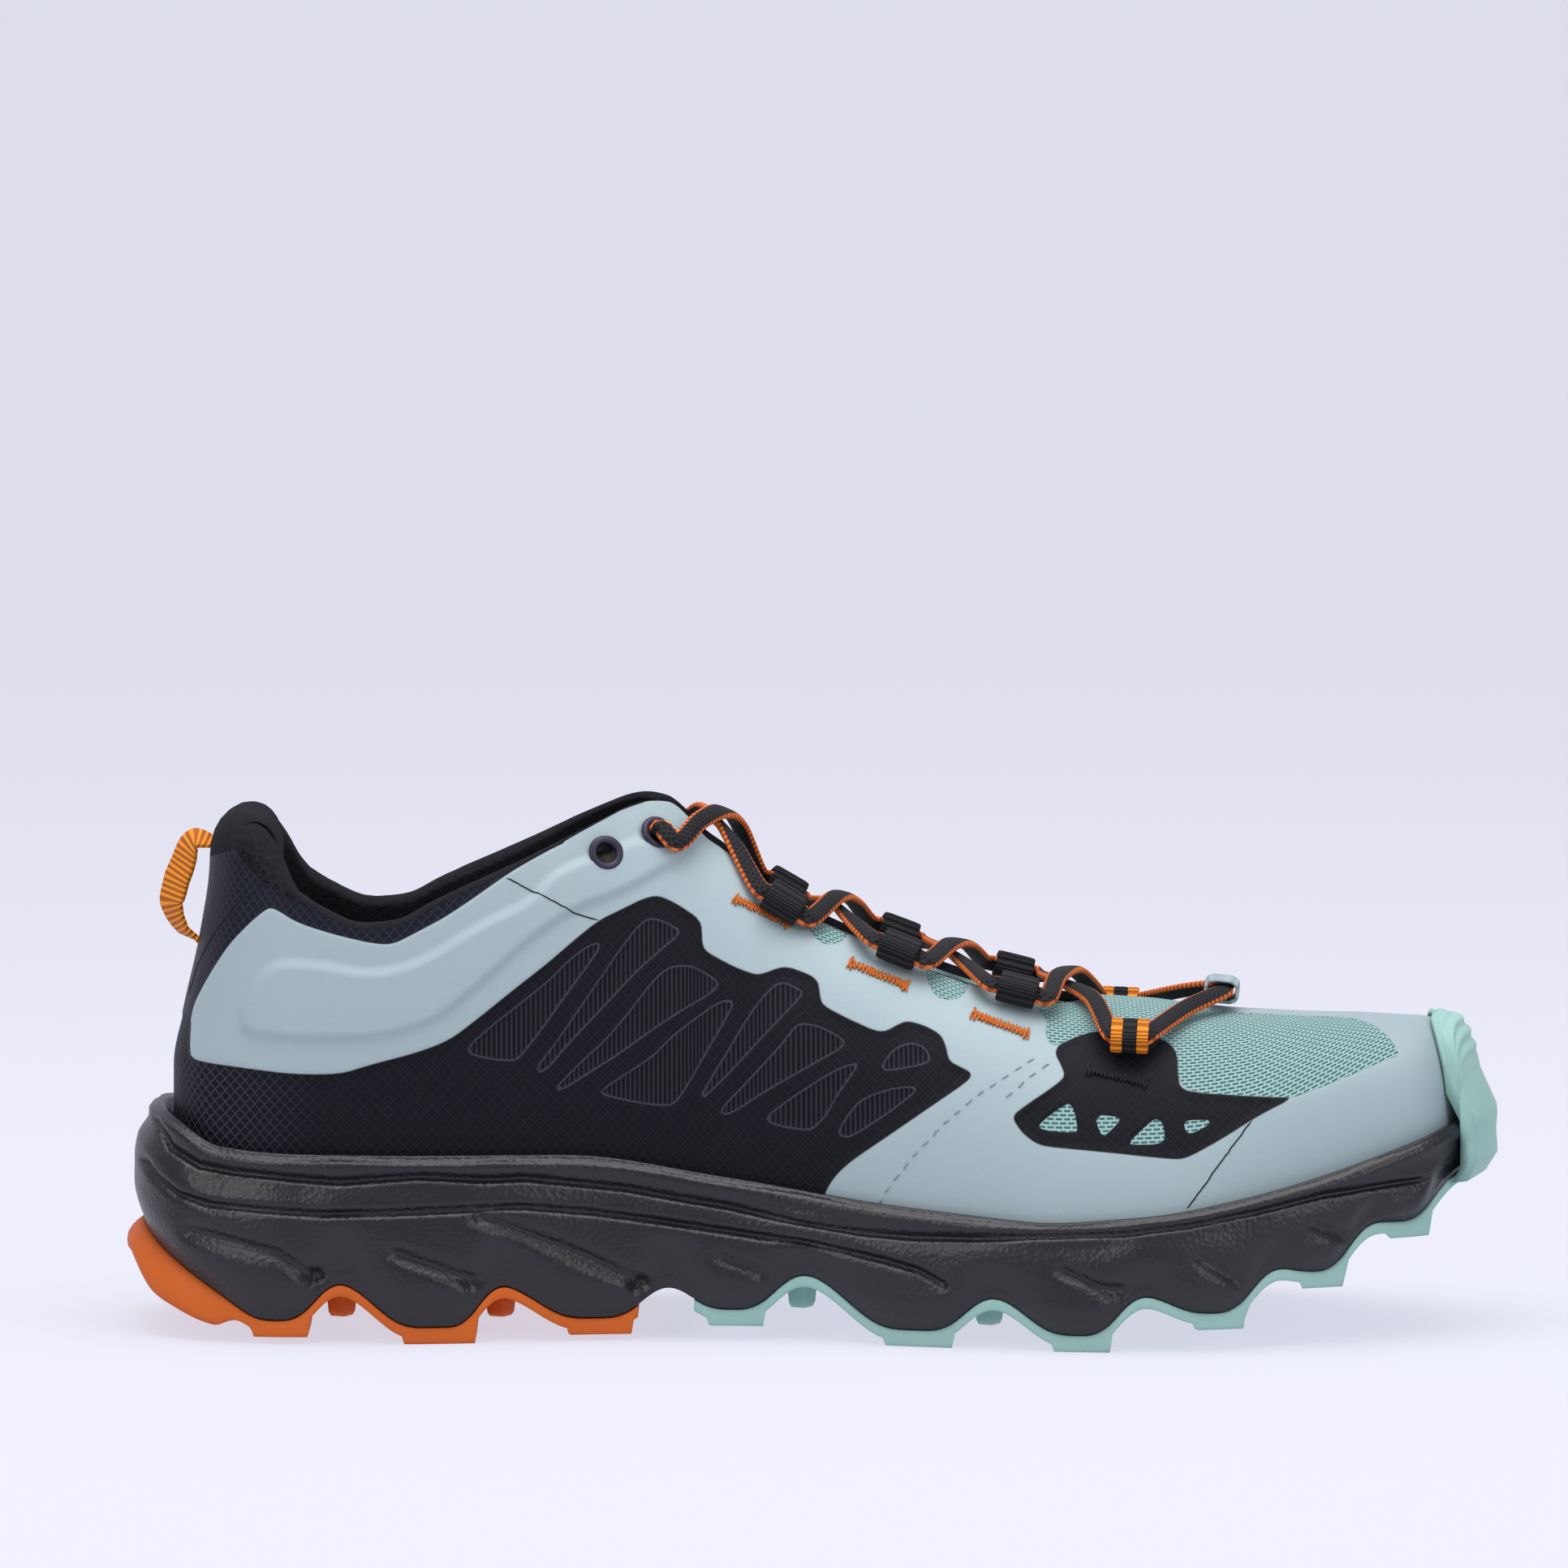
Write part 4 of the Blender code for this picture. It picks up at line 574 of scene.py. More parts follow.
# The upper's layers, drawn round on its side
outlines = {
    "heelFilm": [
        (337, 1117), (316, 1134), (289, 1161), (270, 1188), (255, 1212), (240, 1240), (236, 1270),
        (237, 1298), (243, 1304), (261, 1308), (310, 1314), (368, 1321), (425, 1321), (463, 1309),
        (521, 1294), (559, 1279), (593, 1253), (636, 1218), (682, 1182), (713, 1154), (741, 1132),
        (1200, 1132), (1200, 700), (866, 700), (803, 991), (780, 996), (726, 1024), (650, 1061),
        (560, 1125), (519, 1147), (490, 1162), (466, 1161), (422, 1151), (374, 1136), (347, 1119)],
    "fleece": [
        (100, 700), (900, 700), (803, 985), (780, 992), (726, 1014), (650, 1048), (560, 1096),
        (519, 1120), (470, 1142), (422, 1130), (364, 1105), (337, 1088), (323, 1079), (284, 1034),
        (265, 1030), (100, 1035)],
    "midPanel": [
        (741, 1132), (764, 1121), (792, 1107), (810, 1102), (828, 1109), (856, 1127), (865, 1137),
        (866, 1164), (871, 1172), (904, 1190), (930, 1200), (940, 1199), (967, 1189), (997, 1200),
        (1008, 1208), (1011, 1233), (1018, 1240), (1043, 1253), (1078, 1269), (1091, 1269),
        (1110, 1258), (1121, 1257), (1142, 1264), (1158, 1274), (1164, 1289), (1167, 1305),
        (1183, 1313), (1193, 1318), (1194, 1324), (1186, 1332), (1135, 1367), (1089, 1399),
        (1050, 1426), (1032, 1442), (1019, 1460), (1008, 1490), (1008, 1600), (100, 1600),
        (100, 1240), (240, 1240), (237, 1298), (243, 1304), (261, 1308), (310, 1314), (368, 1321),
        (425, 1321), (463, 1309), (521, 1294), (559, 1279), (593, 1253), (636, 1218), (682, 1182),
        (713, 1154)],
    "forePanel": [
        (1293, 1289), (1330, 1272), (1360, 1267), (1384, 1268), (1414, 1272), (1446, 1288),
        (1446, 1330), (1451, 1338), (1464, 1342), (1518, 1346), (1562, 1348), (1588, 1348),
        (1542, 1371), (1497, 1399), (1454, 1422), (1437, 1423), (1341, 1413), (1284, 1408),
        (1270, 1403), (1254, 1390), (1244, 1374), (1248, 1366), (1305, 1328), (1308, 1319)],
    "topMesh": [
        (1284, 1249), (1288, 1259), (1285, 1272), (1293, 1289), (1330, 1272), (1360, 1267),
        (1384, 1268), (1414, 1272), (1446, 1288), (1446, 1330), (1464, 1342), (1518, 1346),
        (1562, 1348), (1588, 1348), (1600, 1343), (1623, 1335), (1657, 1322), (1687, 1309),
        (1710, 1301), (1729, 1292), (1741, 1280), (1744, 1265), (1744, 1100), (1240, 1100),
        (1262, 1225)],
    "gapOne": [
        (990, 1095), (990, 1130), (994, 1141), (1004, 1156), (1017, 1164), (1040, 1160),
        (1052, 1130), (1040, 1090)],
    "gapTwo": [
        (1136, 1160), (1140, 1194), (1144, 1215), (1154, 1228), (1169, 1232), (1188, 1226),
        (1198, 1190), (1180, 1140)],
    "heelBand": [
        (306, 1237), (330, 1198), (353, 1183), (406, 1187), (463, 1198), (521, 1185), (597, 1137),
        (655, 1110), (684, 1076), (720, 1060), (803, 1028), (860, 1040), (803, 1080), (757, 1103),
        (710, 1118), (655, 1156), (617, 1191), (578, 1225), (540, 1256), (483, 1273), (444, 1277),
        (368, 1277), (306, 1271)],
    "windows": [
        [(580, 1289), (606, 1265), (647, 1233), (682, 1205), (703, 1182), (733, 1160), (745, 1163),
         (703, 1220), (675, 1261), (644, 1301), (636, 1305), (611, 1303), (585, 1297)],
        [(665, 1312), (682, 1292), (713, 1246), (739, 1208), (769, 1164), (787, 1141), (800, 1130),
         (815, 1132), (838, 1144), (837, 1151), (815, 1169), (784, 1197), (739, 1246), (703, 1284),
         (680, 1313), (668, 1320)],
        [(686, 1340), (718, 1307), (749, 1279), (779, 1243), (805, 1208), (825, 1190), (848, 1188),
         (866, 1195), (888, 1210), (876, 1223), (841, 1243), (802, 1269), (764, 1297), (726, 1321),
         (695, 1341)],
        [(739, 1344), (772, 1322), (807, 1299), (828, 1276), (861, 1251), (886, 1233), (907, 1230),
         (889, 1264), (871, 1294), (853, 1327), (835, 1355), (825, 1361), (790, 1357), (754, 1349)],
        [(864, 1348), (892, 1302), (927, 1243), (954, 1212), (967, 1209), (989, 1220), (986, 1227),
         (940, 1275), (899, 1320), (866, 1353)],
        [(886, 1367), (917, 1335), (960, 1289), (979, 1263), (988, 1259), (1011, 1263),
         (1041, 1280), (1036, 1289), (1004, 1307), (940, 1344), (897, 1373)],
        [(940, 1377), (974, 1351), (1009, 1328), (1032, 1314), (1057, 1307), (1052, 1316),
         (1032, 1344), (1016, 1373), (1002, 1387), (995, 1390), (963, 1386)],
        [(1031, 1394), (1039, 1378), (1059, 1351), (1101, 1337), (1133, 1336), (1101, 1362),
         (1055, 1393), (1041, 1399)],
        [(1081, 1318), (1098, 1291), (1119, 1282), (1137, 1287), (1144, 1300), (1142, 1306),
         (1124, 1311)]],
    "toeWindows": [
        [(1275, 1380), (1310, 1354), (1317, 1358), (1323, 1385), (1320, 1391), (1277, 1387)],
        [(1342, 1368), (1372, 1371), (1375, 1375), (1356, 1394), (1351, 1394)],
        [(1384, 1402), (1413, 1375), (1420, 1373), (1427, 1380), (1429, 1404), (1387, 1405)],
        [(1450, 1375), (1480, 1374), (1486, 1377), (1475, 1385), (1456, 1393)]],
}
# Seams, bar tacks and rows of stitches on the upper
seamLines = [
    [(627, 1080), (647, 1091), (675, 1105), (703, 1121), (723, 1128), (739, 1132)],
    [(333, 1086), (296, 1113), (265, 1151), (245, 1185), (232, 1225)],
    [(1535, 1376), (1513, 1404), (1485, 1442), (1454, 1483)],
]
tackLines = [
    {"from": (904, 1107), "to": (973, 1140), "finish": "orange"},
    {"from": (1045, 1186), "to": (1118, 1216), "finish": "orange"},
    {"from": (1195, 1249), "to": (1265, 1274), "finish": "orange"},
    {"from": (1334, 1314), "to": (1408, 1331), "finish": "black"},
]
stitchLines = [
    [(1081, 1482), (1089, 1466), (1096, 1456), (1125, 1419), (1160, 1382), (1200, 1347), (1225, 1331),
     (1249, 1315), (1276, 1299)],
    [(1289, 1309), (1276, 1316), (1261, 1328), (1236, 1349), (1225, 1340)],
]
# Grooves and dents in the midsole's side: depth, width and the pit at the end, in millimetres
soleGrooves = [
    {"depth": 1.3, "width": 0.95, "pit": 0.0, "line": [
        (197, 1380), (215, 1411), (253, 1432), (291, 1439), (368, 1447), (425, 1451), (521, 1445),
        (597, 1449), (650, 1447), (774, 1460), (899, 1482), (982, 1501), (1064, 1513), (1127, 1518),
        (1189, 1518), (1300, 1516), (1374, 1513), (1457, 1503), (1540, 1486), (1623, 1466),
        (1706, 1455), (1743, 1451)]},
    {"depth": 1.4, "width": 1.05, "pit": 0.0, "line": [
        (180, 1430), (196, 1449), (222, 1468), (264, 1480), (330, 1485), (406, 1491), (483, 1489),
        (597, 1484), (650, 1482), (733, 1489), (816, 1501), (899, 1513), (982, 1526), (1044, 1538),
        (1085, 1547), (1127, 1559), (1158, 1577)]},
    {"depth": 1.5, "width": 1.9, "pit": 2.0, "line": [
        (241, 1514), (349, 1541), (383, 1564), (398, 1570)]},
    {"depth": 1.5, "width": 1.9, "pit": 2.0, "line": [(494, 1541), (571, 1568), (586, 1574)]},
    {"depth": 1.7, "width": 2.1, "pit": 2.1, "line": [
        (597, 1495), (700, 1535), (778, 1571), (795, 1583)]},
    {"depth": 1.1, "width": 1.7, "pit": 0.8, "line": [(890, 1547), (940, 1565)]},
    {"depth": 1.5, "width": 1.8, "pit": 1.7, "line": [(1304, 1559), (1353, 1582), (1370, 1584)]},
    {"depth": 1.2, "width": 1.7, "pit": 1.0, "line": [(1474, 1545), (1515, 1570)]},
    {"depth": 1.2, "width": 1.7, "pit": 1.0, "line": [(1615, 1505), (1644, 1516)]},
]


# Heel-based points as places in the photo, each looked at from its own side
def photoPlaces(points, side):
    x = photoLeft + points[..., 0] * photoScale
    lift = points[..., 2] + (-side * points[..., 1] + nearSide) * photoTilt
    return np.stack([x, photoFloor - lift * photoScale], axis=-1)


# Distance to a line of straight steps, the least over its steps
def lineDistance(places, line):
    best = np.full(places.shape[:-1], 1e9)
    for a, b in zip(line[:-1], line[1:]):
        a, b = np.array(a, float), np.array(b, float)
        along = b - a
        t = np.clip(((places - a) @ along) / (along @ along), 0, 1)
        best = np.minimum(best, np.linalg.norm(places - a - t[..., None] * along, axis=-1))
    return best


# An outline with its corners cut back twice
def softened(corners):
    ring = np.array(corners, float)
    for _ in range(2):
        ahead = np.roll(ring, -1, axis=0)
        ring = np.stack([ring * 0.78 + ahead * 0.22, ring * 0.22 + ahead * 0.78], axis=1).reshape(-1, 2)
    return ring


# Distance to an outline in millimetres, less than nothing inside it, found only near the outline
def outlineDistance(places, corners):
    ring = softened(corners)
    close = ((places > ring.min(axis=0) - 16) & (places < ring.max(axis=0) + 16)).all(axis=-1)
    away = np.full(places.shape[:-1], 16000 / photoScale)
    away[close] = signedDistance(places[close], ring)
    return away


# Least distance to an outline's sides, taken as less than nothing for places inside it
def signedDistance(places, corners):
    ring = list(corners) + [corners[0]]
    inside = np.zeros(places.shape[:-1], bool)
    for (ax, ay), (bx, by) in zip(ring[:-1], ring[1:]):
        if ay == by:
            continue
        spans = (ay > places[..., 1]) != (by > places[..., 1])
        inside ^= spans & (places[..., 0] < (bx - ax) * (places[..., 1] - ay) / (by - ay) + ax)
    away = lineDistance(places, ring) * 1000 / photoScale
    return np.where(inside, -away, away)


# The least of the distances to several outlines
def nearest(places, shapes):
    return np.min([outlineDistance(places, shape) for shape in shapes], axis=0)


# Gentle random swells, a few cosine waves added up
def swells(points, size, seed):
    source = np.random.default_rng(seed)
    total = np.zeros(points.shape[:-1])
    for _ in range(7):
        way = source.normal(size=3)
        way /= np.linalg.norm(way)
        total += np.cos(points @ way * 2 * np.pi / (size * source.uniform(0.7, 1.5))
                        + source.uniform(0, 6.28))
    return total / 7


# Faces of a grid of points, closed round in either way where asked
def gridFaces(rows, columns, wrapColumns=False, start=0, flip=False):
    i, j = np.meshgrid(np.arange(rows - 1), np.arange(columns if wrapColumns else columns - 1),
                       indexing="ij")
    k = (j + 1) % columns
    quad = np.stack([i * columns + j, (i + 1) * columns + j, (i + 1) * columns + k,
                     i * columns + k], axis=-1).reshape(-1, 4) + start
    return quad[:, ::-1] if flip else quad


# A piece from heel-based points: its mesh is placed, its object stays at the origin
def addPiece(name, points, faces, finish, uv=None, values=None, weld=2e-6, caps=()):
    mesh = bpy.data.meshes.new(name)
    flat = place(np.asarray(points).reshape(-1, 3))
    polygons = np.asarray(faces).reshape(-1, 4).tolist() + list(caps)
    mesh.from_pydata(flat.tolist(), [], polygons)
    for key, value in (values or {}).items():
        layer = mesh.attributes.new(key, "FLOAT", "POINT")
        layer.data.foreach_set("value", np.asarray(value, np.float32).ravel())
    if uv is not None:
        layer = mesh.uv_layers.new(name="surface")
        corner = np.zeros(len(mesh.loops), np.int32)
        mesh.loops.foreach_get("vertex_index", corner)
        layer.data.foreach_set("uv", np.asarray(uv, np.float32).reshape(-1, 2)[corner].ravel())
    work = bmesh.new()
    work.from_mesh(mesh)
    if weld:
        bmesh.ops.remove_doubles(work, verts=work.verts, dist=weld)
    bmesh.ops.dissolve_degenerate(work, edges=work.edges, dist=1e-7)
    bmesh.ops.recalc_face_normals(work, faces=work.faces)
    work.to_mesh(mesh)
    work.free()
    mesh.shade_smooth()
    piece = bpy.data.objects.new(name, mesh)
    bpy.context.scene.collection.objects.link(piece)
    mesh.materials.append(finish)
    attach(piece, "root")
    return piece


# A tube through rings of points, its first and last ring closed by one face each where asked
def tubePiece(name, rings, finish, uv, values=None, capped=True, weld=2e-6):
    rows, columns = rings.shape[:2]
    ends = [list(range(columns)), [(rows - 1) * columns + k for k in range(columns)][::-1]]
    return addPiece(name, rings, gridFaces(rows, columns, wrapColumns=True), finish, uv, values,
                    weld, ends if capped else ())


# A shader tree with short calls: each input is a number, a colour or another node's output
class Wires:
    def __init__(self, tree, shader=None):
        self.tree, self.shader = tree, shader

    def feed(self, socket, value):
        if isinstance(value, bpy.types.NodeSocket):
            self.tree.links.new(value, socket)
        elif value is not None:
            socket.default_value = value

    def node(self, kind, feeds=(), **settings):
        made = self.tree.nodes.new(kind)
        for key, value in settings.items():
            setattr(made, key, value)
        for key, value in dict(feeds).items():
            self.feed(made.inputs[key], value)
        return made

    def math(self, operation, a, b=None, c=None):
        return self.node("ShaderNodeMath", {0: a, 1: b, 2: c}, operation=operation).outputs[0]

    def times(self, a, b):
        return self.math("MULTIPLY", a, b)

    def plus(self, a, b):
        return self.math("ADD", a, b)

    def most(self, a, b):
        return self.math("MAXIMUM", a, b)

    def mix(self, share, a, b):
        return self.node("ShaderNodeMix", {0: share, 6: a, 7: b}, data_type="RGBA").outputs[2]

    def blend(self, share, a, b):
        return self.node("ShaderNodeMix", {0: share, 2: a, 3: b}, data_type="FLOAT").outputs[0]

    def value(self, name):
        return self.node("ShaderNodeAttribute", attribute_name=name).outputs["Fac"]

    def spots(self):
        return self.node("ShaderNodeTexCoord").outputs["Object"]

    def surface(self):
        return self.node("ShaderNodeUVMap", uv_map="surface").outputs[0]

    def ramp(self, value, low, high, first=0.0, last=1.0):
        feeds = {0: value, 1: low, 2: high, 3: first, 4: last}
        return self.node("ShaderNodeMapRange", feeds, interpolation_type="SMOOTHSTEP").outputs[0]

    def within(self, name):
        return self.ramp(self.value(name), -0.10, 0.10, 1.0, 0.0)

    def noise(self, vector, scale, detail=3.0, roughness=0.5):
        feeds = {"Vector": vector, "Scale": scale, "Detail": detail, "Roughness": roughness}
        return self.node("ShaderNodeTexNoise", feeds).outputs[0]

    def cells(self, vector, scale):
        return self.node("ShaderNodeTexVoronoi", {"Vector": vector, "Scale": scale}).outputs[0]

    def waves(self, vector, across, size, turn=0.0):
        turned = self.node("ShaderNodeMapping", {0: vector, 2: (0.0, 0.0, turn)}).outputs[0]
        parts = self.node("ShaderNodeSeparateXYZ", {0: turned})
        turns = self.math("MULTIPLY", parts.outputs[across], 2 * np.pi / size)
        return self.math("MULTIPLY_ADD", self.math("SINE", turns), 0.5, 0.5)

    def look(self, colour, height, depth, strength=1.0, rough=None, shine=None):
        feeds = {"Height": height, "Distance": depth, "Strength": strength}
        looks = {"Base Color": colour, "Roughness": rough, "Specular IOR Level": shine,
                 "Normal": self.node("ShaderNodeBump", feeds).outputs[0]}
        for key, value in looks.items():
            self.feed(self.shader.inputs[key], value)


# A material from plain values, and from a builder that adds its nodes
def newFinish(name, colour, roughness, build=None, shine=0.25, **settings):
    made = bpy.data.materials.new(name)
    made.use_nodes = True
    tree = made.node_tree
    tree.nodes.clear()
    end = tree.nodes.new("ShaderNodeOutputMaterial")
    shader = tree.nodes.new("ShaderNodeBsdfPrincipled")
    tree.links.new(shader.outputs[0], end.inputs[0])
    shader.inputs["Base Color"].default_value = (*colour, 1)
    shader.inputs["Roughness"].default_value = roughness
    shader.inputs["Specular IOR Level"].default_value = shine
    made.diffuse_color = (*colour, 1)
    for key, value in settings.items():
        shader.inputs[key].default_value = value
    if build:
        build(Wires(tree, shader))
    return made


# Warp and weft threads that pass over and under each other, as a height and a dark-gap mask
def weaveGroup():
    tree = bpy.data.node_groups.new("weave", "ShaderNodeTree")
    for name, kind, way in (("Vector", "Vector", "INPUT"), ("Pitch", "Float", "INPUT"),
                            ("Height", "Float", "OUTPUT"), ("Gap", "Float", "OUTPUT")):
        tree.interface.new_socket(name=name, in_out=way, socket_type="NodeSocket" + kind)
    w = Wires(tree)
    start = tree.nodes.new("NodeGroupInput")
    end = tree.nodes.new("NodeGroupOutput")
    parts = w.node("ShaderNodeSeparateXYZ", {0: start.outputs[0]})
    u = w.math("DIVIDE", parts.outputs[0], start.outputs[1])
    v = w.math("DIVIDE", parts.outputs[1], start.outputs[1])
    across = w.math("ABSOLUTE", w.math("SINE", w.times(u, np.pi)))
    along = w.math("ABSOLUTE", w.math("SINE", w.times(v, np.pi)))
    over = w.math("SINE", w.times(w.plus(w.math("FLOOR", u), w.math("FLOOR", v)), np.pi / 2))
    high = w.most(w.times(across, 0.9), w.times(along, 0.9))
    w.feed(end.inputs[0], w.math("MULTIPLY_ADD", over, 0.1, high))
    w.feed(end.inputs[1], w.math("SUBTRACT", 1.0, w.ramp(high, 0.35, 0.75)))
    return tree


weave = weaveGroup()
filmColour = (0.350, 0.436, 0.462, 1)
toeFilmColour = (0.300, 0.385, 0.410, 1)
blackColour = (0.0042, 0.0042, 0.0074, 1)
navyColour = (0.0075, 0.0085, 0.0160, 1)
tealColour = (0.315, 0.470, 0.460, 1)
slitColour = (0.008, 0.075, 0.070, 1)


# Mesh with staggered slits: short dark bricks between pale threads
def slitMesh(w, vector):
    feeds = {"Vector": vector, "Color1": (0, 0, 0, 1), "Color2": (0, 0, 0, 1), "Mortar": (1, 1, 1, 1),
             "Scale": 1.0, "Mortar Size": 0.00030, "Mortar Smooth": 0.35, "Bias": 0.0,
             "Brick Width": 0.00178, "Row Height": 0.00092}
    thread = w.node("ShaderNodeTexBrick", feeds, offset=0.5).outputs[0]
    return w.node("ShaderNodeSeparateColor", {0: thread}).outputs[0]


# The upper: film, cloth, screens, mesh and pile, each mixed in within its outline, with painted shade along
# the panels' edges and in the eyelets' holes
def buildUpper(w):
    spots, surface = w.spots(), w.surface()
    mesh = w.within("mesh")
    panel = w.within("panel")
    window = w.within("window")
    windowRim = w.ramp(w.math("ABSOLUTE", w.value("window")), 0.05, 0.32, 1.0, 0.0)
    # Painted shadow line along the panels' edges, standing for the layer's thickness
    panelEdgeShade = w.ramp(w.math("ABSOLUTE", w.value("panel")), 0.06, 0.28, 1.0, 0.0)
    heel = w.within("heel")
    fleece = w.within("fleece")
    cloud = w.noise(spots, 42.0, 4.0)
    fine = w.noise(spots, 900.0, 2.0)
    alongShoe = w.node("ShaderNodeSeparateXYZ", {0: spots}).outputs[0]
    toe = w.ramp(alongShoe, 0.070, 0.105)
    film = w.mix(toe, filmColour, toeFilmColour)
    film = w.mix(w.times(w.ramp(cloud, 0.35, 0.75), 0.14), film, (0.30, 0.41, 0.45, 1))
    slits = slitMesh(w, surface)
    teal = w.mix(slits, slitColour, tealColour)
    teal = w.mix(w.times(fine, 0.35), teal, (0.20, 0.38, 0.37, 1))
    ripsA = w.waves(surface, 0, 0.0017, 0.785)
    ripsB = w.waves(surface, 1, 0.0017, 0.785)
    rips = w.most(w.ramp(ripsA, 0.86, 0.98), w.ramp(ripsB, 0.86, 0.98))
    back = w.ramp(alongShoe, -0.125, -0.100, 1.0, 0.0)
    cloth = w.mix(w.times(rips, w.math("MULTIPLY_ADD", back, 0.55, 0.10)), blackColour,
                  (0.05, 0.055, 0.08, 1))
    ribs = w.waves(surface, 0, 0.0011)
    screen = w.mix(w.times(w.ramp(ribs, 0.35, 0.9), 0.7), (0.004, 0.004, 0.006, 1),
                   (0.032, 0.034, 0.046, 1))
    navy = w.mix(w.times(rips, 0.35), navyColour, (0.045, 0.050, 0.080, 1))
    pile = w.mix(w.ramp(fine, 0.35, 0.7), (0.005, 0.005, 0.007, 1), (0.022, 0.022, 0.027, 1))
    colour = w.mix(heel, film, navy)
    colour = w.mix(fleece, colour, pile)
    colour = w.mix(panel, colour, cloth)
    # Painted shade and light at the panels' edges: darker on the film beside them, a little lighter on the
    # black cloth
    colour = w.mix(w.times(panelEdgeShade, 0.35), colour, (0.05, 0.06, 0.075, 1))
    colour = w.mix(w.within("strip"), colour, (0.34, 0.52, 0.66, 1))
    colour = w.mix(w.times(window, panel), colour, screen)
    colour = w.mix(w.times(w.times(windowRim, panel), 0.55), colour, (0.075, 0.085, 0.105, 1))
    colour = w.mix(mesh, colour, teal)
    # Painted shade: near black inside each eyelet, where the hole lies in shadow
    colour = w.mix(w.ramp(w.value("hole"), 2.3, 2.9, 1.0, 0.0), colour, (0.002, 0.002, 0.003, 1))
    soft = w.most(mesh, w.most(fleece, w.times(panel, window)))
    rough = w.blend(soft, w.math("MULTIPLY_ADD", cloud, 0.18, 0.40), 0.86)
    rough = w.blend(w.times(panel, 0.75), rough, 0.62)
    dark = w.most(panel, w.most(heel, fleece))
    plain = w.math("SUBTRACT", 1.0, soft)
    height = w.times(slits, mesh)
    height = w.plus(height, w.times(w.times(ribs, window), panel))
    height = w.plus(height, w.times(fine, w.times(fleece, 2.0)))
    height = w.plus(height, w.times(w.times(rips, 0.35), w.times(plain, w.most(panel, heel))))
    height = w.plus(height, w.times(fine, w.times(plain, 0.25)))
    w.look(colour, height, 0.00022, rough=rough, shine=w.blend(dark, 0.30, 0.14))


# Foam: fine scales in the surface and slow changes of shade
def buildFoam(w):
    spots = w.spots()
    scales = w.cells(spots, 1050.0)
    broad = w.noise(spots, 18.0, 2.0)
    fine = w.noise(spots, 1400.0, 2.0)
    colour = w.mix(broad, (0.0048, 0.0046, 0.0074, 1), (0.0080, 0.0076, 0.0118, 1))
    height = w.plus(w.times(scales, 0.8), w.times(fine, 0.25))
    w.look(colour, height, 0.00015, 0.8, w.math("MULTIPLY_ADD", broad, 0.12, 0.30))


# Rubber between two shades, with a fine grain
def rubberBuilder(dark, light):
    def build(w):
        spots = w.spots()
        broad = w.noise(spots, 30.0, 4.0)
        fine = w.noise(spots, 1100.0, 2.0)
        rough = w.math("MULTIPLY_ADD", broad, 0.2, 0.52)
        w.look(w.mix(broad, dark, light), fine, 0.00010, 0.6, rough)
    return build


# Webbing with ribs across its run, dark between them
def webbingBuilder(dark, light, pitch):
    def build(w):
        surface = w.surface()
        ribs = w.waves(surface, 0, pitch)
        fine = w.noise(w.spots(), 1500.0, 2.0)
        colour = w.mix(w.ramp(ribs, 0.15, 0.85), dark, light)
        w.look(colour, w.plus(ribs, w.times(fine, 0.4)), 0.00030)
    return build


# The lace: two slanting sets of threads, orange along both edges
def buildLace(w):
    surface = w.surface()
    sides = w.ramp(w.math("ABSOLUTE", w.value("across")), 0.74, 0.82)
    braidA = w.waves(surface, 0, 0.00105, 0.62)
    braidB = w.waves(surface, 0, 0.00105, -0.62)
    braid = w.most(w.ramp(braidA, 0.3, 0.9), w.ramp(braidB, 0.3, 0.9))
    black = w.mix(braid, (0.003, 0.003, 0.004, 1), (0.015, 0.015, 0.019, 1))
    orange = w.mix(braid, (0.30, 0.055, 0.010, 1), (0.78, 0.17, 0.030, 1))
    w.look(w.mix(sides, black, orange), braid, 0.00022)


# Pile: two sizes of noise added up
def buildFleece(w):
    spots = w.spots()
    pile = w.noise(spots, 900.0, 3.0, 0.7)
    tufts = w.noise(spots, 240.0, 2.0)
    colour = w.mix(pile, (0.004, 0.004, 0.006, 1), (0.026, 0.026, 0.032, 1))
    w.look(colour, w.plus(pile, tufts), 0.00050)


# The tongue: slit mesh with a rim of film
def buildTongue(w):
    surface = w.surface()
    slits = slitMesh(w, surface)
    rim = w.ramp(w.math("ABSOLUTE", w.value("across")), 0.86, 0.90)
    teal = w.mix(slits, slitColour, tealColour)
    w.look(w.mix(rim, teal, filmColour), slits, 0.00022)


# The insole's plain weave
def buildInsole(w):
    made = w.node("ShaderNodeGroup", node_tree=weave)
    w.feed(made.inputs[0], w.surface())
    w.feed(made.inputs[1], 0.0009)
    colour = w.mix(made.outputs[1], (0.030, 0.031, 0.038, 1), (0.008, 0.008, 0.011, 1))
    w.look(colour, made.outputs[0], 0.00015)


upperFinish = newFinish("upper_film_and_mesh", filmColour[:3], 0.5, buildUpper)
foamFinish = newFinish("midsole_foam_look", (0.016, 0.015, 0.021), 0.5, buildFoam, 0.5)
heelRubber = newFinish("heel_rubber_look", (0.60, 0.115, 0.014), 0.6,
                       rubberBuilder((0.52, 0.095, 0.012, 1), (0.66, 0.140, 0.018, 1)))
toeRubber = newFinish("toe_rubber_look", (0.31, 0.50, 0.46), 0.6,
                      rubberBuilder((0.255, 0.445, 0.405, 1), (0.345, 0.545, 0.500, 1)))
blackWebbing = newFinish("black_webbing_look", (0.01, 0.01, 0.014), 0.75,
                         webbingBuilder((0.002, 0.002, 0.003, 1), (0.016, 0.016, 0.020, 1), 0.0011))
orangeWebbing = newFinish("orange_webbing_look", (0.78, 0.22, 0.01), 0.7,
                          webbingBuilder((0.42, 0.10, 0.004, 1), (0.86, 0.29, 0.014, 1), 0.0012))
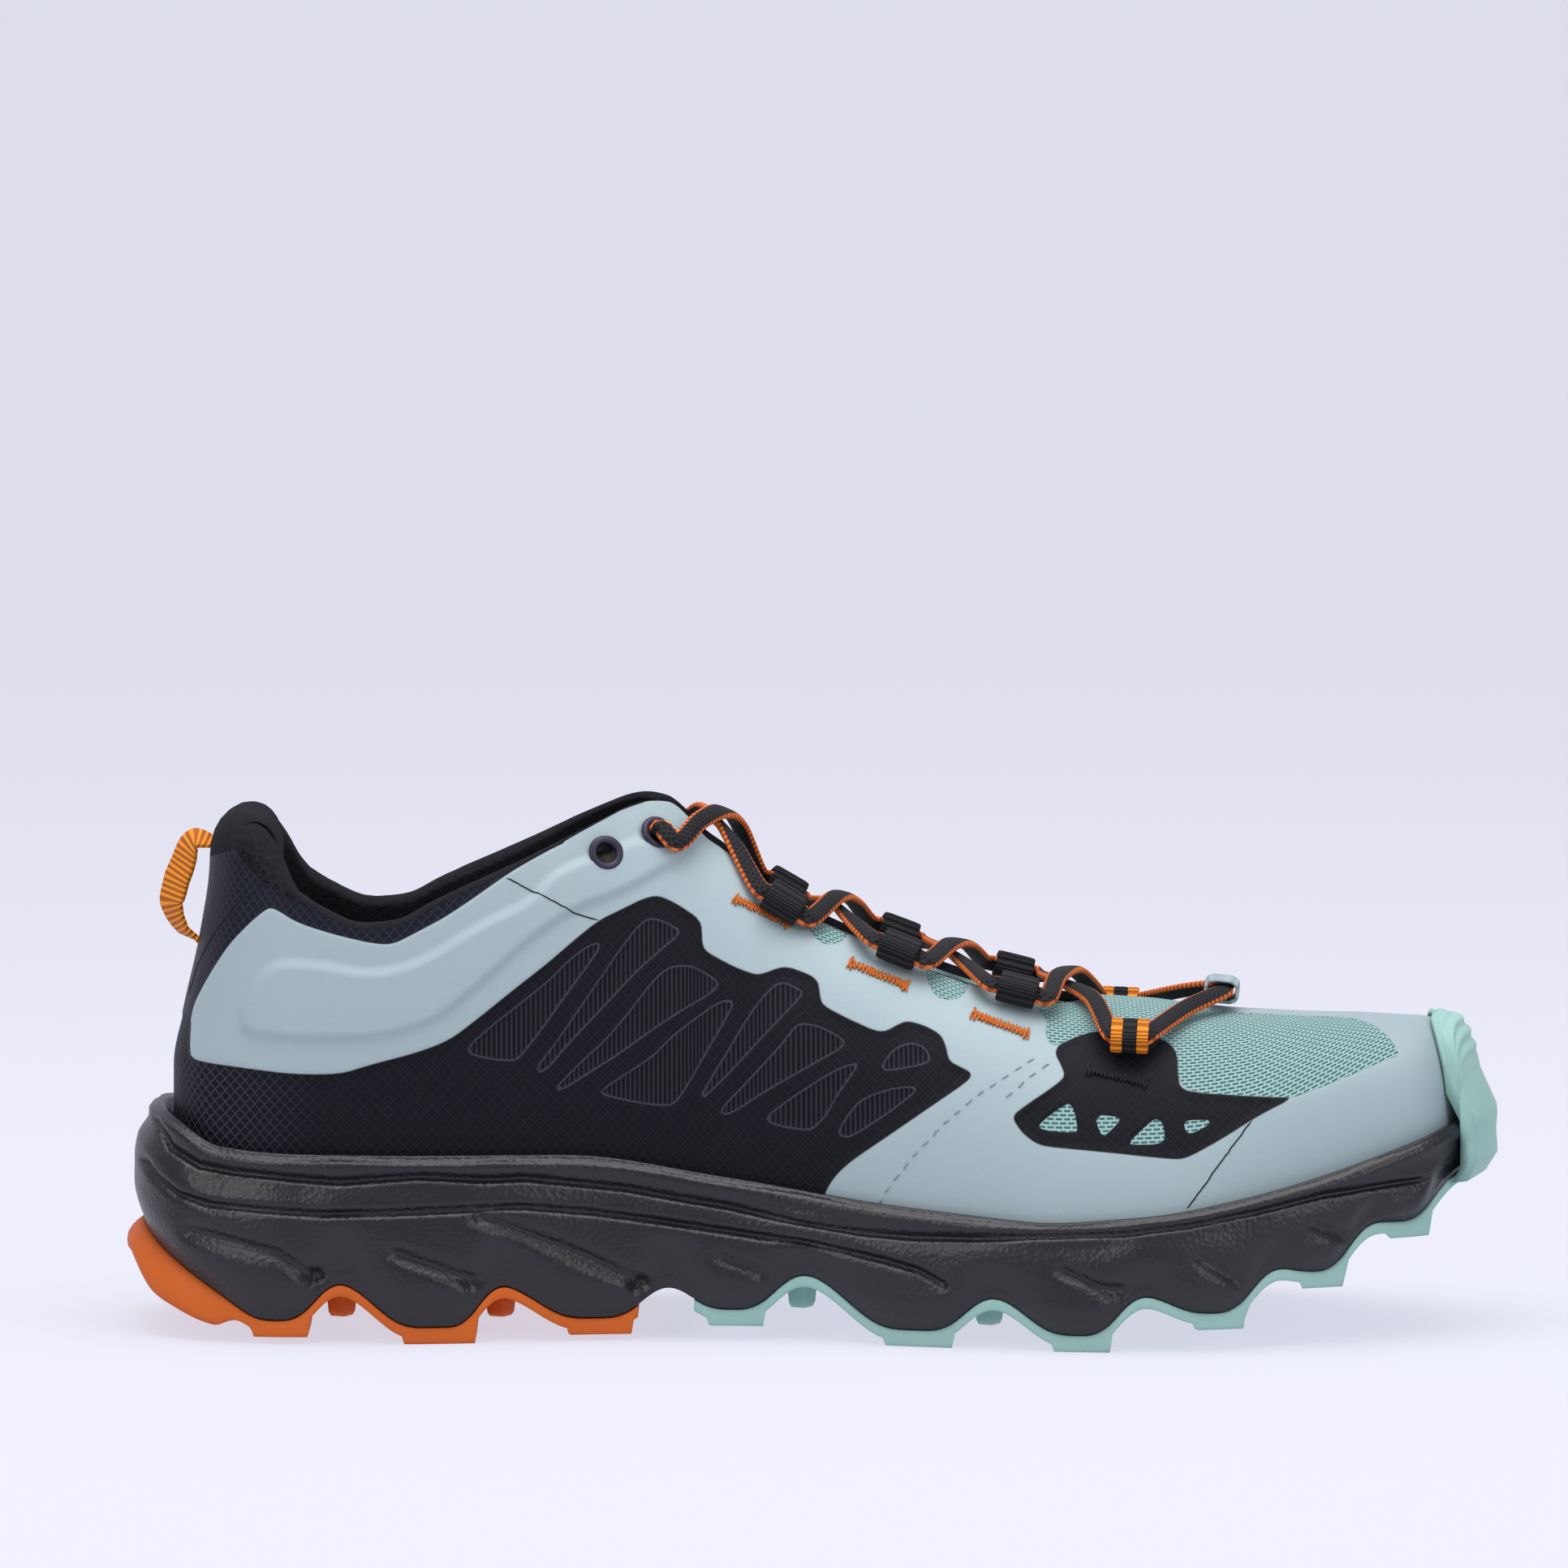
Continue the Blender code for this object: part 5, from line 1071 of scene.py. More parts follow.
filmPlain = newFinish("film_trim", (0.25, 0.33, 0.37), 0.5,
                      webbingBuilder((0.29, 0.37, 0.40, 1), (0.33, 0.41, 0.44, 1), 0.0030))
laceFinish = newFinish("lace_braid", (0.01, 0.01, 0.014), 0.7, buildLace)
fleeceFinish = newFinish("collar_fleece", (0.01, 0.01, 0.014), 0.95, buildFleece, 0.10)
tongueFinish = newFinish("tongue_look", tealColour[:3], 0.8, buildTongue)
insoleFinish = newFinish("insole_look", (0.02, 0.02, 0.026), 0.85, buildInsole)
eyeletFinish = newFinish("eyelet_look", (0.045, 0.042, 0.065), 0.35, None, Metallic=0.6)
orangeThread = newFinish("orange_thread", (0.82, 0.20, 0.025), 0.6,
                         webbingBuilder((0.55, 0.11, 0.015, 1), (0.90, 0.24, 0.035, 1), 0.0006))
blackThread = newFinish("black_thread", (0.012, 0.012, 0.016), 0.6,
                        webbingBuilder((0.006, 0.006, 0.009, 1), (0.030, 0.030, 0.036, 1), 0.0006))
paleThread = newFinish("pale_thread", (0.30, 0.38, 0.42), 0.6,
                       webbingBuilder((0.22, 0.30, 0.33, 1), (0.42, 0.52, 0.56, 1), 0.0006))


# Running average along stations, so that an edge found in steps comes out smooth
def evened(values, reach):
    padded = np.concatenate([np.repeat(values[:1], reach), values, np.repeat(values[-1:], reach)])
    total = np.cumsum(np.insert(padded, 0, 0.0))
    width = 2 * reach + 1
    return (total[width:] - total[:-width]) / width


# One inside an outline and nothing outside it, with a smooth edge of this width
def within(distance, edgeWidth):
    return ease(0.5 - distance / edgeWidth)


# The upper's outer skin: the squarish arch of every station, pushed along its normal by the depth
# of the layer that the photo's outlines put there
upperStations = 400
upperLevels = 96
nearlyClosed = 0.9999
skinAt = (1 - np.cos(np.linspace(0, np.pi, upperStations))) / 2
skinAt = 0.5 * skinAt + 0.5 * np.linspace(0, 1, upperStations)
levels = np.linspace(0, 1, upperLevels)
skins = {}
for side in (-1, 1):
    edge = topEdge(skinAt, side)
    openRows = edge < nearlyClosed
    edge = np.where(openRows, np.minimum(evened(edge, 3), nearlyClosed), 1.0)
    up = edge[:, None] * levels[None, :]
    points = upperSurface(skinAt, side, up)
    normals = normalsOf(skinAt, side, up)
    places = photoPlaces(points, side)
    film = outlineDistance(places, outlines["heelFilm"])
    values = {
        "mesh": np.minimum(outlineDistance(places, outlines["topMesh"]),
                           nearest(places, [outlines["gapOne"], outlines["gapTwo"]]
                                   + outlines["toeWindows"])),
        "panel": nearest(places, [outlines["midPanel"], outlines["forePanel"]]),
        "window": nearest(places, outlines["windows"]),
        "fleece": outlineDistance(places, outlines["fleece"]),
        # A narrow stripe low on the back of the heel
        "strip": np.maximum(np.maximum(np.abs(points[..., 1]) * 1000 - 2.6, points[..., 0] * 1000 - 18),
                            points[..., 2] * 1000 - 69),
        "heel": np.maximum(-film, (places[..., 0] - 700) * 1000 / photoScale),
    }
    # The film down the middle of the toe's mesh, which grows wider towards the toe
    ridge = np.abs(points[..., 1] - points[:, -1:, 1]) * 1000
    strip = np.maximum(ridge - 5.2 - 0.2 * np.clip(points[..., 0] * 1000 - 256, 0, 99) ** 1.7,
                       226 - points[..., 0] * 1000)
    values["mesh"] = np.maximum(values["mesh"], -strip)
    # Distance to the eyelets' centres, for the pressed-in hole and the painted shade inside it
    centres = [spotOf(row, side)[0] for row in eyelets]
    values["hole"] = np.min([np.linalg.norm(points - spot, axis=-1) * 1000 for spot in centres], axis=0)
    band = outlineDistance(places, outlines["heelBand"])
    # How far each layer stands out or lies in, in millimetres, and the width of its edge
    depth = 1.15 * within(band, 2.6) - 0.30 * within(values["panel"], 0.5)
    depth -= 0.25 * within(values["mesh"], 0.5)
    depth -= 0.28 * within(values["window"], 0.5) * (values["panel"] < 0)
    depth += 0.22 * within(np.abs(values["window"]) - 0.35, 0.4) * (values["panel"] < 0)
    depth += 0.25 * within(np.abs(values["panel"] + 0.4) - 0.5, 0.6)
    depth -= 0.35 * within(values["heel"], 0.8)
    depth -= 1.2 * within(values["hole"] - 2.3, 1.2)
    depth += 0.8 * within(values["fleece"], 2.0) * np.clip(1 - points[..., 0] / 0.125, 0, 1)
    depth += 0.35 * swells(points, 0.05, 3) + 0.10 * swells(points, 0.022, 5)
    depth *= np.clip(levels * 14, 0, 1)[None, :]
    skins[side] = {"points": points, "normals": normals, "open": openRows, "values": values,
                   "shown": points + normals * (depth * mm)[..., None], "places": places}
closedRows = ~(skins[-1]["open"] | skins[1]["open"])
middleRidge = (skins[-1]["shown"][closedRows, -1] + skins[1]["shown"][closedRows, -1]) / 2
for side in (-1, 1):
    skins[side]["shown"][closedRows, -1] = middleRidge
for row in (0, -1):
    shared = (skins[-1]["shown"][row] + skins[1]["shown"][row]) / 2
    for side in (-1, 1):
        skins[side]["shown"][row] = shared


# Surface measures along and up the skin, in metres, for the woven patterns
def surfaceMeasures(points):
    along = np.linalg.norm(np.diff(points, axis=0), axis=-1).mean(axis=1)
    rise = np.linalg.norm(np.diff(points, axis=1), axis=-1)
    u = np.append(0, np.cumsum(along))[:, None] + 0 * points[..., 0]
    v = np.concatenate([np.zeros((len(points), 1)), np.cumsum(rise, axis=1)], axis=1)
    return np.stack([u, v], axis=-1)


count = upperStations * upperLevels
faces = [gridFaces(upperStations, upperLevels),
         gridFaces(upperStations, upperLevels, start=count, flip=True)]
skinPoints = np.concatenate([skins[side]["shown"].reshape(-1, 3) for side in (-1, 1)])
skinValues = {key: np.concatenate([skins[side]["values"][key].ravel() for side in (-1, 1)])
              for key in skins[-1]["values"]}
skinUv = np.concatenate([surfaceMeasures(skins[side]["points"]).reshape(-1, 2) for side in (-1, 1)])
upperSkin = addPiece("upper_skin", skinPoints, np.concatenate(faces), upperFinish, skinUv, skinValues)
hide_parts("upper")
print("upper skin", len(skinPoints))

# The lining: the skin moved inwards by the wall, and a round roll joining the two along the top
liningPoints, liningFaces, liningUv, start = [], [], [], 0
rollSteps = 13
for side in (-1, 1):
    part = skins[side]
    points = part["points"]
    reach = np.clip(1 - (points[:, -1:, 2] - points[..., 2]) / padDrop, 0, 1)
    wall = upperWall + padAt(skinAt)[:, None] * ease(reach)
    inner = points - part["normals"] * wall[..., None]
    inner += part["normals"] * (0.35 * mm * swells(points, 0.02, 8))[..., None] * reach[..., None]
    inner[closedRows, -1] = inner[closedRows, -1] * [1, 0, 1] + [0, 1, 0] * points[closedRows, -1]
    for row in (0, -1):
        inner[row, :, 1] = points[row, :, 1]
    rise = (wall[:, -1] * crownShare(skinAt))[:, None] * np.array([0, 0, 1.0])
    middle = (part["shown"][:, -1] + inner[:, -1]) / 2
    arm = part["shown"][:, -1] - middle
    turn = np.linspace(0, np.pi, rollSteps)
    roll = (middle[:, None] + arm[:, None] * np.cos(turn)[None, :, None]
            + rise[:, None] * np.sin(turn)[None, :, None])
    grid = np.concatenate([roll[:, :-1], inner[:, ::-1]], axis=1)
    columns = grid.shape[1]
    quads = gridFaces(upperStations, columns, start=start, flip=side > 0).reshape(
        upperStations - 1, columns - 1, 4)
    openHere = part["open"][:-1] & part["open"][1:]
    first = quads[:, :rollSteps - 1][openHere].reshape(-1, 4)
    rest = quads[:, rollSteps - 1:].reshape(-1, 4)
    liningFaces += [first, rest]
    liningPoints.append(grid.reshape(-1, 3))
    liningUv.append(surfaceMeasures(grid).reshape(-1, 2))
    start += grid.shape[0] * columns
lining = addPiece("upper_lining", np.concatenate(liningPoints), np.concatenate(liningFaces),
                  fleeceFinish, np.concatenate(liningUv))
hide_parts("upper")
print("lining", len(lining.data.vertices))


# A closed body drawn as one ring for each station along the sole
def ringBody(name, rings, finish, caps=False):
    around = np.cumsum(np.linalg.norm(np.diff(rings, axis=1, prepend=rings[:, -1:]), axis=-1), axis=1)
    return tubePiece(name, rings, finish, np.stack([rings[..., 0], around], axis=-1), capped=caps)


# Points across the sole at each station, between its two edges, with a height function of x and
# the share across
def acrossSole(at, inset, shares, height):
    edges = outline(at, inset)
    span = (shares + 1) / 2
    flat = edges[0][:, None] + (edges[1] - edges[0])[:, None] * span[None, :, None]
    across = np.broadcast_to(shares, flat.shape[:2])
    return np.dstack([flat, height(flat[..., 0], across)])


# The foam cup: underside, bulging walls with the photo's grooves and dents pressed in, thin rim
soleAt = (0.45 * (1 - np.cos(np.linspace(0, np.pi, 420))) / 2 + 0.55 * np.linspace(0, 1, 420))
wallShares = np.linspace(0, 1, 88)
wallProfile = curve([0, 0.10, 0.30, 0.50, 0.80, 0.93, 1.0], [1.0, 0.55, 0.12, 0, 0, 0, 0], wallShares)
leanProfile = curve([0, 0.45, 0.62, 0.82, 0.93, 1.0], [0, 0, 0.12, 0.58, 0.82, 1.0], wallShares)


# One side wall of the foam: rows from the underside to the rim, pushed in along their
# normals by a bell curve for each groove and dent, and out for the bead and the pods
def soleWall(side):
    grid = []
    for tuckShare, leanShare, step in zip(wallProfile, leanProfile, wallShares):
        inset = bottomTuck * tuckShare + rimLean(soleAt) * leanShare
        edge = outline(soleAt, inset)[0 if side < 0 else 1]
        low = underside(edge[:, 0], np.ones(len(soleAt)))
        high = sideHeight("rim", edge[:, 0])
        grid.append(np.column_stack([edge, low + (high - low) * step]))
    grid = np.stack(grid, axis=1)
    along = np.gradient(grid, axis=0)
    rise = np.gradient(grid, axis=1)
    normal = np.cross(along, rise) * -side
    for row, way in ((0, -1.0), (-1, 1.0)):
        normal[row] = [way, 0, 0]
    normal = unit(normal, 1e-9)
    normal *= np.where(normal[..., 1:2] * side < -0.2, -1, 1)
    places = photoPlaces(grid, side)
    push = np.zeros(grid.shape[:2])
    for groove in soleGrooves:
        away = lineDistance(places, groove["line"]) * 1000 / photoScale
        push -= groove["depth"] * np.exp(-(away / groove["width"]) ** 2 * 1.4)
        end = np.linalg.norm(places - groove["line"][-1], axis=-1) * 1000 / photoScale
        push -= 0.5 * groove["pit"] * np.exp(-(end / 2.9) ** 2)
    fromTop = (sideHeight("rim", grid[..., 0]) - grid[..., 2]) * 1000
    push += 0.9 * np.exp(-((fromTop - 2.2) / 1.7) ** 2)
    push += 0.3 * swells(grid, 0.04, 12)
    at = [pod[key] for pod in pods for key in ("lug", "lug end", "gap")]
    swing = curve([0.0] + at + [1.0], [0.5] + [1.0, 1.0, -1.0] * len(pods) + [0.0], share(grid[..., 0]))
    push += 0.9 * swing * np.exp(-((wallShares - 0.22) / 0.16) ** 2)
    push *= np.clip(wallShares * 9, 0, 1)[None, :] * np.clip((1 - wallShares) * 16, 0.15, 1)[None, :]
    return grid + normal * (push * mm)[..., None]


rimInset = rimLean(soleAt) + rimLip
underShares = np.linspace(-1, 1, 41)
bedShares = np.linspace(-1, 1, 9)
under = acrossSole(soleAt, bottomTuck, underShares, underside)
bed = acrossSole(soleAt, rimInset, bedShares, lambda x, t: sideHeight("bed", x))
rims = outline(soleAt, rimInset)
lips = [np.column_stack([edge, sideHeight("rim", edge[:, 0])])[:, None] for edge in rims]
cup = np.concatenate([under[:, 1:-1], soleWall(1), lips[1], bed[:, ::-1], lips[0],
                      soleWall(-1)[:, ::-1]], axis=1)
midsole = ringBody("midsole_cup", cup, foamFinish)
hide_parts("midsole")
print("midsole", cup.shape)


# Stations of one rubber part: even ones, with more of them at each lug's ends and at both tips
def outsoleStations(start, end):
    at = [np.linspace(start, end, 150)]
    for pod in pods:
        for edge in (pod["lug"] - lugTrail / planLength, pod["lug end"] + lugLead / planLength):
            at.append(edge + np.linspace(-1, 1, 9) * lugStep / planLength)
    at.append((1 - np.cos(np.linspace(0, 0.5, 40))) / 2)
    at.append(1 - (1 - np.cos(np.linspace(0, 0.4, 30))) / 2)
    at = np.unique(np.round(np.concatenate(at), 6))
    return at[(at >= start) & (at <= end)]


# One rubber part: a ring at each station, of the underside, a bulging side, the tread and the
# other side
def outsole(name, start, end, finish):
    at = outsoleStations(start, end)
    shares = np.linspace(-1, 1, 47)
    top = lambda x, t: underside(x, t) - fit
    upperSide = acrossSole(at, bottomTuck, np.linspace(-1, 1, 15), top)
    lower = acrossSole(at, wrapOut(at), shares, tread)
    sides = []
    for side, pick in ((1, -1), (-1, 0)):
        high, low = upperSide[:, pick], lower[:, pick]
        outer = np.array(outline(at, 0.0)[pick]) - np.array(outline(at, 1 * mm)[pick])
        outer = np.column_stack([outer / mm, 0 * outer[:, 0]])[:, None]
        size = 0.25 + 1.15 * (1 - ease(at / 0.09))
        bulge = np.sin(np.linspace(0.2, 0.8, 4) * np.pi)[None, :, None] * size[:, None, None] * mm
        steps = np.linspace(0.2, 0.8, 4)[None, :, None]
        sides.append(high[:, None] * (1 - steps) + low[:, None] * steps + outer * bulge)
    ring = np.concatenate([upperSide, sides[0], lower[:, ::-1], sides[1][:, ::-1]], axis=1)
    return ringBody(name, ring, finish, caps=True)


heelSole = outsole("outsole_heel_rubber", 0.0, heelRubberEnd, heelRubber)
toeSole = outsole("outsole_forefoot_rubber", toeRubberStart, 1.0, toeRubber)
for piece, node, slot in ((heelSole, "outsole_heel", "heel_rubber"),
                          (toeSole, "outsole_forefoot", "toe_rubber")):
    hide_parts(node)
print("outsoles", len(heelSole.data.vertices), len(toeSole.data.vertices))


# A small rounded lug: a box whose cross-section narrows downwards
def smallLug(name, x, y, low, high, turn, finish):
    shapes = []
    angle = circle(32)
    for step in np.linspace(0, 1, 7):
        size = 1.0 - 0.16 * step - (0.12 if step == 1 else 0)
        px = squarish(np.cos(angle), 0.35) * innerLug[0] / 2 * size
        py = squarish(np.sin(angle), 0.35) * innerLug[1] / 2 * size
        c, s = np.cos(turn), np.sin(turn)
        shapes.append(np.column_stack([x + px * c - py * s, y + px * s + py * c,
                                       np.full(32, high + (low - high) * step)]))
    return ringBody(name, np.stack(shapes), finish, caps=True)


for k, pod in enumerate(pods[:-2]):
    near = pod["gap"] < heelRubberEnd - 0.02
    if not near and pod["gap"] < toeRubberStart:
        continue
    x = heelWrap + pod["gap"] * planLength
    low = max(pod["lift"], pods[k + 1]["lift"]) * toeSpring + 1.2 * mm
    for side in (-1, 1):
        y = side * halfWidth(side, np.array([pod["gap"]]))[0] * 0.30
        root = underside(x + np.linspace(-4, 4, 9) * mm, np.full(9, 0.3)).min() - fit - rubberSkin / 3
        label = "inner" if side < 0 else "outer"
        lug = smallLug(f"small_lug_{label}_{k}", x, y, low, root, side * 0.5,
                       heelRubber if near else toeRubber)
print("small lugs")

# The toe bumper: two skins over the toe, the outer one ribbed across
bumperAt = 1 - (1 - bumperStart) * np.linspace(1, 0, 44) ** 2
rounded = 0.3 + 0.7 * np.sqrt(np.clip(1 - ((1 - bumperAt) / (1 - bumperStart)) ** 2, 0, 1))


# A row round the toe: the inner edge to the tip and the outer edge back
def bothSides(at, inset, height):
    rows = [np.column_stack([edge, height(edge[:, 0])]) for edge in outline(at, inset)]
    return np.concatenate([rows[0], rows[1][-2::-1]])


# One skin of the bumper: rows up the midsole's wall, then rows over the upper that stand
# out along its normals and grow thinner towards the top
def bumperSkin(out, outer):
    rows = []
    ones = lambda x: np.ones_like(x)
    inset, drop = (-2.2 * mm, -2.0 * mm) if outer else (1.4 * mm, -1.3 * mm)
    rows.append(bothSides(bumperAt, 0 * bumperAt + inset, lambda x: underside(x, ones(x)) + drop))
    for step in np.linspace(0.12, 1.0, 12):
        rib = 0.15 * mm * np.sin(step * 9) if outer else 0
        rows.append(bothSides(
            bumperAt, rimLean(bumperAt) * max(0, step - 0.55) - out - 0.25 * mm - rib,
            lambda x, s=step: underside(x, ones(x)) * (1 - s) + sideHeight("rim", x) * s))
    for step in np.linspace(0.30, 0.84, 70):
        up = (0.2 + (step - 0.2) * rounded)[:, None]
        rib = 0.30 * mm * np.sin(step * 60) * ease((step - 0.36) / 0.08) * outer
        thin = 1 - 0.7 * ease((step - 0.62) / 0.22)
        stand = (out - fit) * thin + fit + rib * ((rounded - 0.3) / 0.7) ** 1.5
        row = []
        for side in (-1, 1):
            surface = upperSurface(bumperAt, side, up)[:, 0]
            normal = normalsOf(bumperAt, side, up)[:, 0]
            row.append(surface + normal * (stand + fit)[:, None])
        rows.append(np.concatenate([row[0], row[1][-2::-1]]))
    return np.stack(rows)


innerSkin, outerSkin = bumperSkin(fit, False), bumperSkin(fit + bumperWall, True)
ring = np.concatenate([outerSkin, innerSkin[::-1]], axis=0)
ring = np.moveaxis(ring, 1, 0)
bumper = ringBody("toe_bumper", ring, toeRubber, caps=True)
print("bumper", ring.shape)

# Insole: a thin slab on the footbed, inside the upper's foot
insoleAt = np.unique(np.concatenate([(1 - np.cos(np.linspace(0, np.pi, 120))) / 2, [0.0, 1.0]]))
insoleInset = rimLean(insoleAt) + rimLip + cupFit + upperWall + 2 * fit
floorOf = lambda x, t: sideHeight("bed", x) + fit
ringShares = np.linspace(-1, 1, 25)
bottomSide = acrossSole(insoleAt, insoleInset, ringShares, floorOf)
topSide = acrossSole(insoleAt, insoleInset, ringShares, lambda x, t: floorOf(x, t) + insoleDepth)
insolePiece = ringBody("insole_board", np.concatenate([bottomSide, topSide[:, ::-1]], axis=1),
                       insoleFinish)
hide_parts("insole")
print("insole", len(insolePiece.data.vertices))

# Tongue: a curved sheet under the throat, its two skins joined round the edge
tongueAt = np.linspace(*tongueEnds, 40)
tongueAcross = np.linspace(-1, 1, 21)
topSkin, underSkin = [], []
for a in tongueAt:
    half = follow(throatTable, "half", [a])[0] * throatHalf
    for t in tongueAcross:
        offset = t * (half + tongueOverlap)
        point, normal = overThroat(a, offset, 0.0)
        swell = 0.5 * mm * (1 - t * t)
        topSkin.append(point - normal * (upperWall + tongueDepth - swell))
        underSkin.append(point - normal * (upperWall + tongueDepth + tongueThickness))
sheet = [np.array(rows).reshape(len(tongueAt), len(tongueAcross), 3) for rows in (topSkin, underSkin)]
ring = np.concatenate([sheet[0], sheet[1][:, ::-1]], axis=1)
across = np.concatenate([tongueAcross, tongueAcross[::-1]])[None, :] + 0 * ring[..., 0]
tonguePiece = tubePiece("tongue_sheet", ring, tongueFinish, surfaceMeasures(ring), {"across": across})
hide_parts("tongue")
print("tongue", ring.shape)


# A ring turned about a surface's normal from a closed profile of radius and height
def turnedRing(name, spot, profile, finish, steps=48):
    point, normal, along = spot
    across = np.cross(normal, along)
    angle = circle(steps)
    way = along * np.cos(angle)[:, None] + across * np.sin(angle)[:, None]
    radius, height = np.array(profile).T
    grid = point + way[:, None] * radius[None, :, None] + normal * height[None, :, None]
    grid = np.concatenate([grid, grid[:1]])
    return tubePiece(name, grid, finish, np.zeros((*grid.shape[:2], 2)), capped=False, weld=1e-6)


turns = np.linspace(0, np.pi, 9)
flangeMiddle, flangeHalf = (eyeletHole + eyeletRadius) / 2, (eyeletRadius - eyeletHole) / 2
barrelFoot = -upperWall - 2 * fit
profile = [(eyeletHole, barrelFoot), (eyeletHole, 2 * fit)]
profile += [(flangeMiddle - flangeHalf * np.cos(t), 2 * fit + eyeletFlange * np.sin(t)) for t in turns]
profile += [(eyeletHole + eyeletBarrel, level) for level in (2 * fit - 0.02 * mm, barrelFoot)]
for side, label in ((-1, "inner"), (1, "outer")):
    for k, row in enumerate(eyelets, 1):
        spot = spotOf(row, side)
        eyelet = turnedRing(f"eyelet_ring_{label}_{k}", spot, profile, eyeletFinish)
        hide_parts(f"eyelet_{label}_{k}")


# A webbing sleeve: a squarish ring drawn a little way along the lace, rounded at its two mouths
def sleevePiece(name, spot, length, finish, node, crosswise=False):
    point, normal, along = spot
    if crosswise:
        along = np.cross(normal, along)
    across = np.cross(normal, along)
    turn = circle(40)
    rim = circle(24)
    middle = loopWebbing / 2
    x = squarish(np.cos(rim), 0.3) * length / 2
    out = middle + squarish(np.sin(rim), 0.6) * loopWebbing / 2 * 0.98
    y = squarish(np.cos(turn), 0.6)[:, None] * (laceWidth / 2 + sleeveRoom + out[None, :])
    z = squarish(np.sin(turn), 0.6)[:, None] * (laceThickness / 2 + sleeveRoom + out[None, :])
    centre = point + normal * sleeveLift()
    grid = (centre + along * (x[None, :, None] + 0 * y[..., None]) + across * y[..., None]
            + normal * z[..., None])
    grid = np.concatenate([grid, grid[:1]])
    uv = tubeMeasures(grid, np.linspace(0, 24 * mm, len(grid)), x)
    made = tubePiece(name, grid, finish, uv, capped=False, weld=1e-6)
    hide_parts(node)


for side, label in ((-1, "inner"), (1, "outer")):
    for k, row in enumerate(laceLoops, 1):
        spot = spotOf(row, side)
        sleevePiece(f"loop_sleeve_{label}_{k}", spot, loopLength, blackWebbing,
                    f"lace_loop_{label}_{k}")
    spot = spotOf(foreLoop, side)
    for end, step in (("back", -2.7 * mm), ("front", 2.7 * mm)):
        moved = spot[0] + spot[2] * step, spot[1], spot[2]
        sleevePiece(f"fore_mouth_{label}_{end}", moved, 2.5 * mm, orangeWebbing,
                    f"forefoot_loop_{label}")
    sleevePiece(f"fore_channel_{label}", spot, 3.2 * mm, blackWebbing,
                f"forefoot_loop_{label}")
sleevePiece("toe_sleeve", spotOf(toeLoop, 1), toeSleeve, filmPlain,
            "toe_loop", crosswise=True)
print("eyelets and loops")

# The lace: a flat oval carried along the route, run on down through both eyelets
routePoints, routeNormals = laceRoute()
spots = [spotOf(eyelets[1], side) for side in (-1, 1)]
before = [spots[0][0] - spots[0][1] * 5 * mm, spots[0][0] - spots[0][1] * 0.5 * mm]
after = [spots[1][0] - spots[1][1] * 0.5 * mm, spots[1][0] - spots[1][1] * 5 * mm]
ways = [spots[0][1], spots[0][1]], [spots[1][1], spots[1][1]]
lacePath, laceNormals = through(np.vstack([before, routePoints, after]),
                                np.vstack([ways[0], routeNormals, ways[1]]), 0.7 * mm)
along = unit(np.gradient(lacePath, axis=0))
outwards = np.tanh(lacePath[:, 1] / (6 * mm)) * 0.8
laceNormals = laceNormals + np.array([0, 1.0, 0]) * outwards[:, None]
laceNormals = laceNormals - along * np.sum(laceNormals * along, axis=1, keepdims=True)
laceNormals = unit(laceNormals, 1e-6)
laceAcross = np.cross(laceNormals, along)
turn = circle(24)
wide = squarish(np.cos(turn), 0.8)
narrow = np.ones(len(lacePath))
narrow[:8] = narrow[-8:] = 0.8
rings = (lacePath[:, None]
         + laceAcross[:, None] * (wide * laceWidth / 2)[None, :, None] * narrow[:, None, None]
         + laceNormals[:, None] * (np.sin(turn) * laceThickness / 2)[None, :, None])
lacePiece = tubePiece("lace_braid", rings, laceFinish,
                      tubeMeasures(rings, runAlong(lacePath), wide * laceWidth / 2),
                      {"across": wide + 0 * rings[..., 0]})
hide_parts("lace")
print("lace", rings.shape)

# The pull loop: a strip of webbing following its path, ribbed across
endsIn = 2.6 * mm           # how far the strip's ends run into the heel
middleIn = 2.2 * mm         # how much nearer to the heel its middle is drawn than in the table
pullTwist = 0.55
steps = np.linspace(0, len(pullTable) - 1, 90)
pullOut = curve(np.arange(len(pullTable)), column(pullTable, "out"), steps) * pullBulge
pullUp = pullLow * heelHeight + curve(np.arange(len(pullTable)), column(pullTable, "up"), steps) * pullHeight
leanBack = heelCurve * follow(backTable, "lean", pullUp / heelHeight)
spine = upperEdges(np.array([0.0]))[0][0, 0] + leanBack - 2 * fit - pullWebbing / 2 - pullOut
path = np.column_stack([spine, 0 * spine, pullUp])
facing = np.cross(unit(np.gradient(path, axis=0)), [0, 1.0, 0])
rim = circle(32)
flatY = squarish(np.cos(rim), 0.25) * pullWidth / 2
flatN = squarish(np.sin(rim), 0.5) * pullWebbing / 2
path[:, 0] += endsIn * np.clip(1 - steps / 0.9, 0, 1)
path[:, 0] += endsIn * np.clip(steps - len(pullTable) + 2, 0, 1)
middle = np.sin(np.pi * steps / (len(pullTable) - 1))
path[:, 0] += middleIn * middle
twist = pullTwist * middle ** 0.7
sideways = np.array([0, 1.0, 0])[None] * np.cos(twist)[:, None] + facing * np.sin(twist)[:, None]
facing = facing * np.cos(twist)[:, None] - np.array([0, 1.0, 0])[None] * np.sin(twist)[:, None]
rings = (path[:, None] + facing[:, None] * flatN[None, :, None] + sideways[:, None] * flatY[None, :, None])
pullPiece = tubePiece("pull_strip", rings, orangeWebbing, tubeMeasures(rings, runAlong(path), flatY))
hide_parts("heel_pull_loop")
print("pull loop", rings.shape)


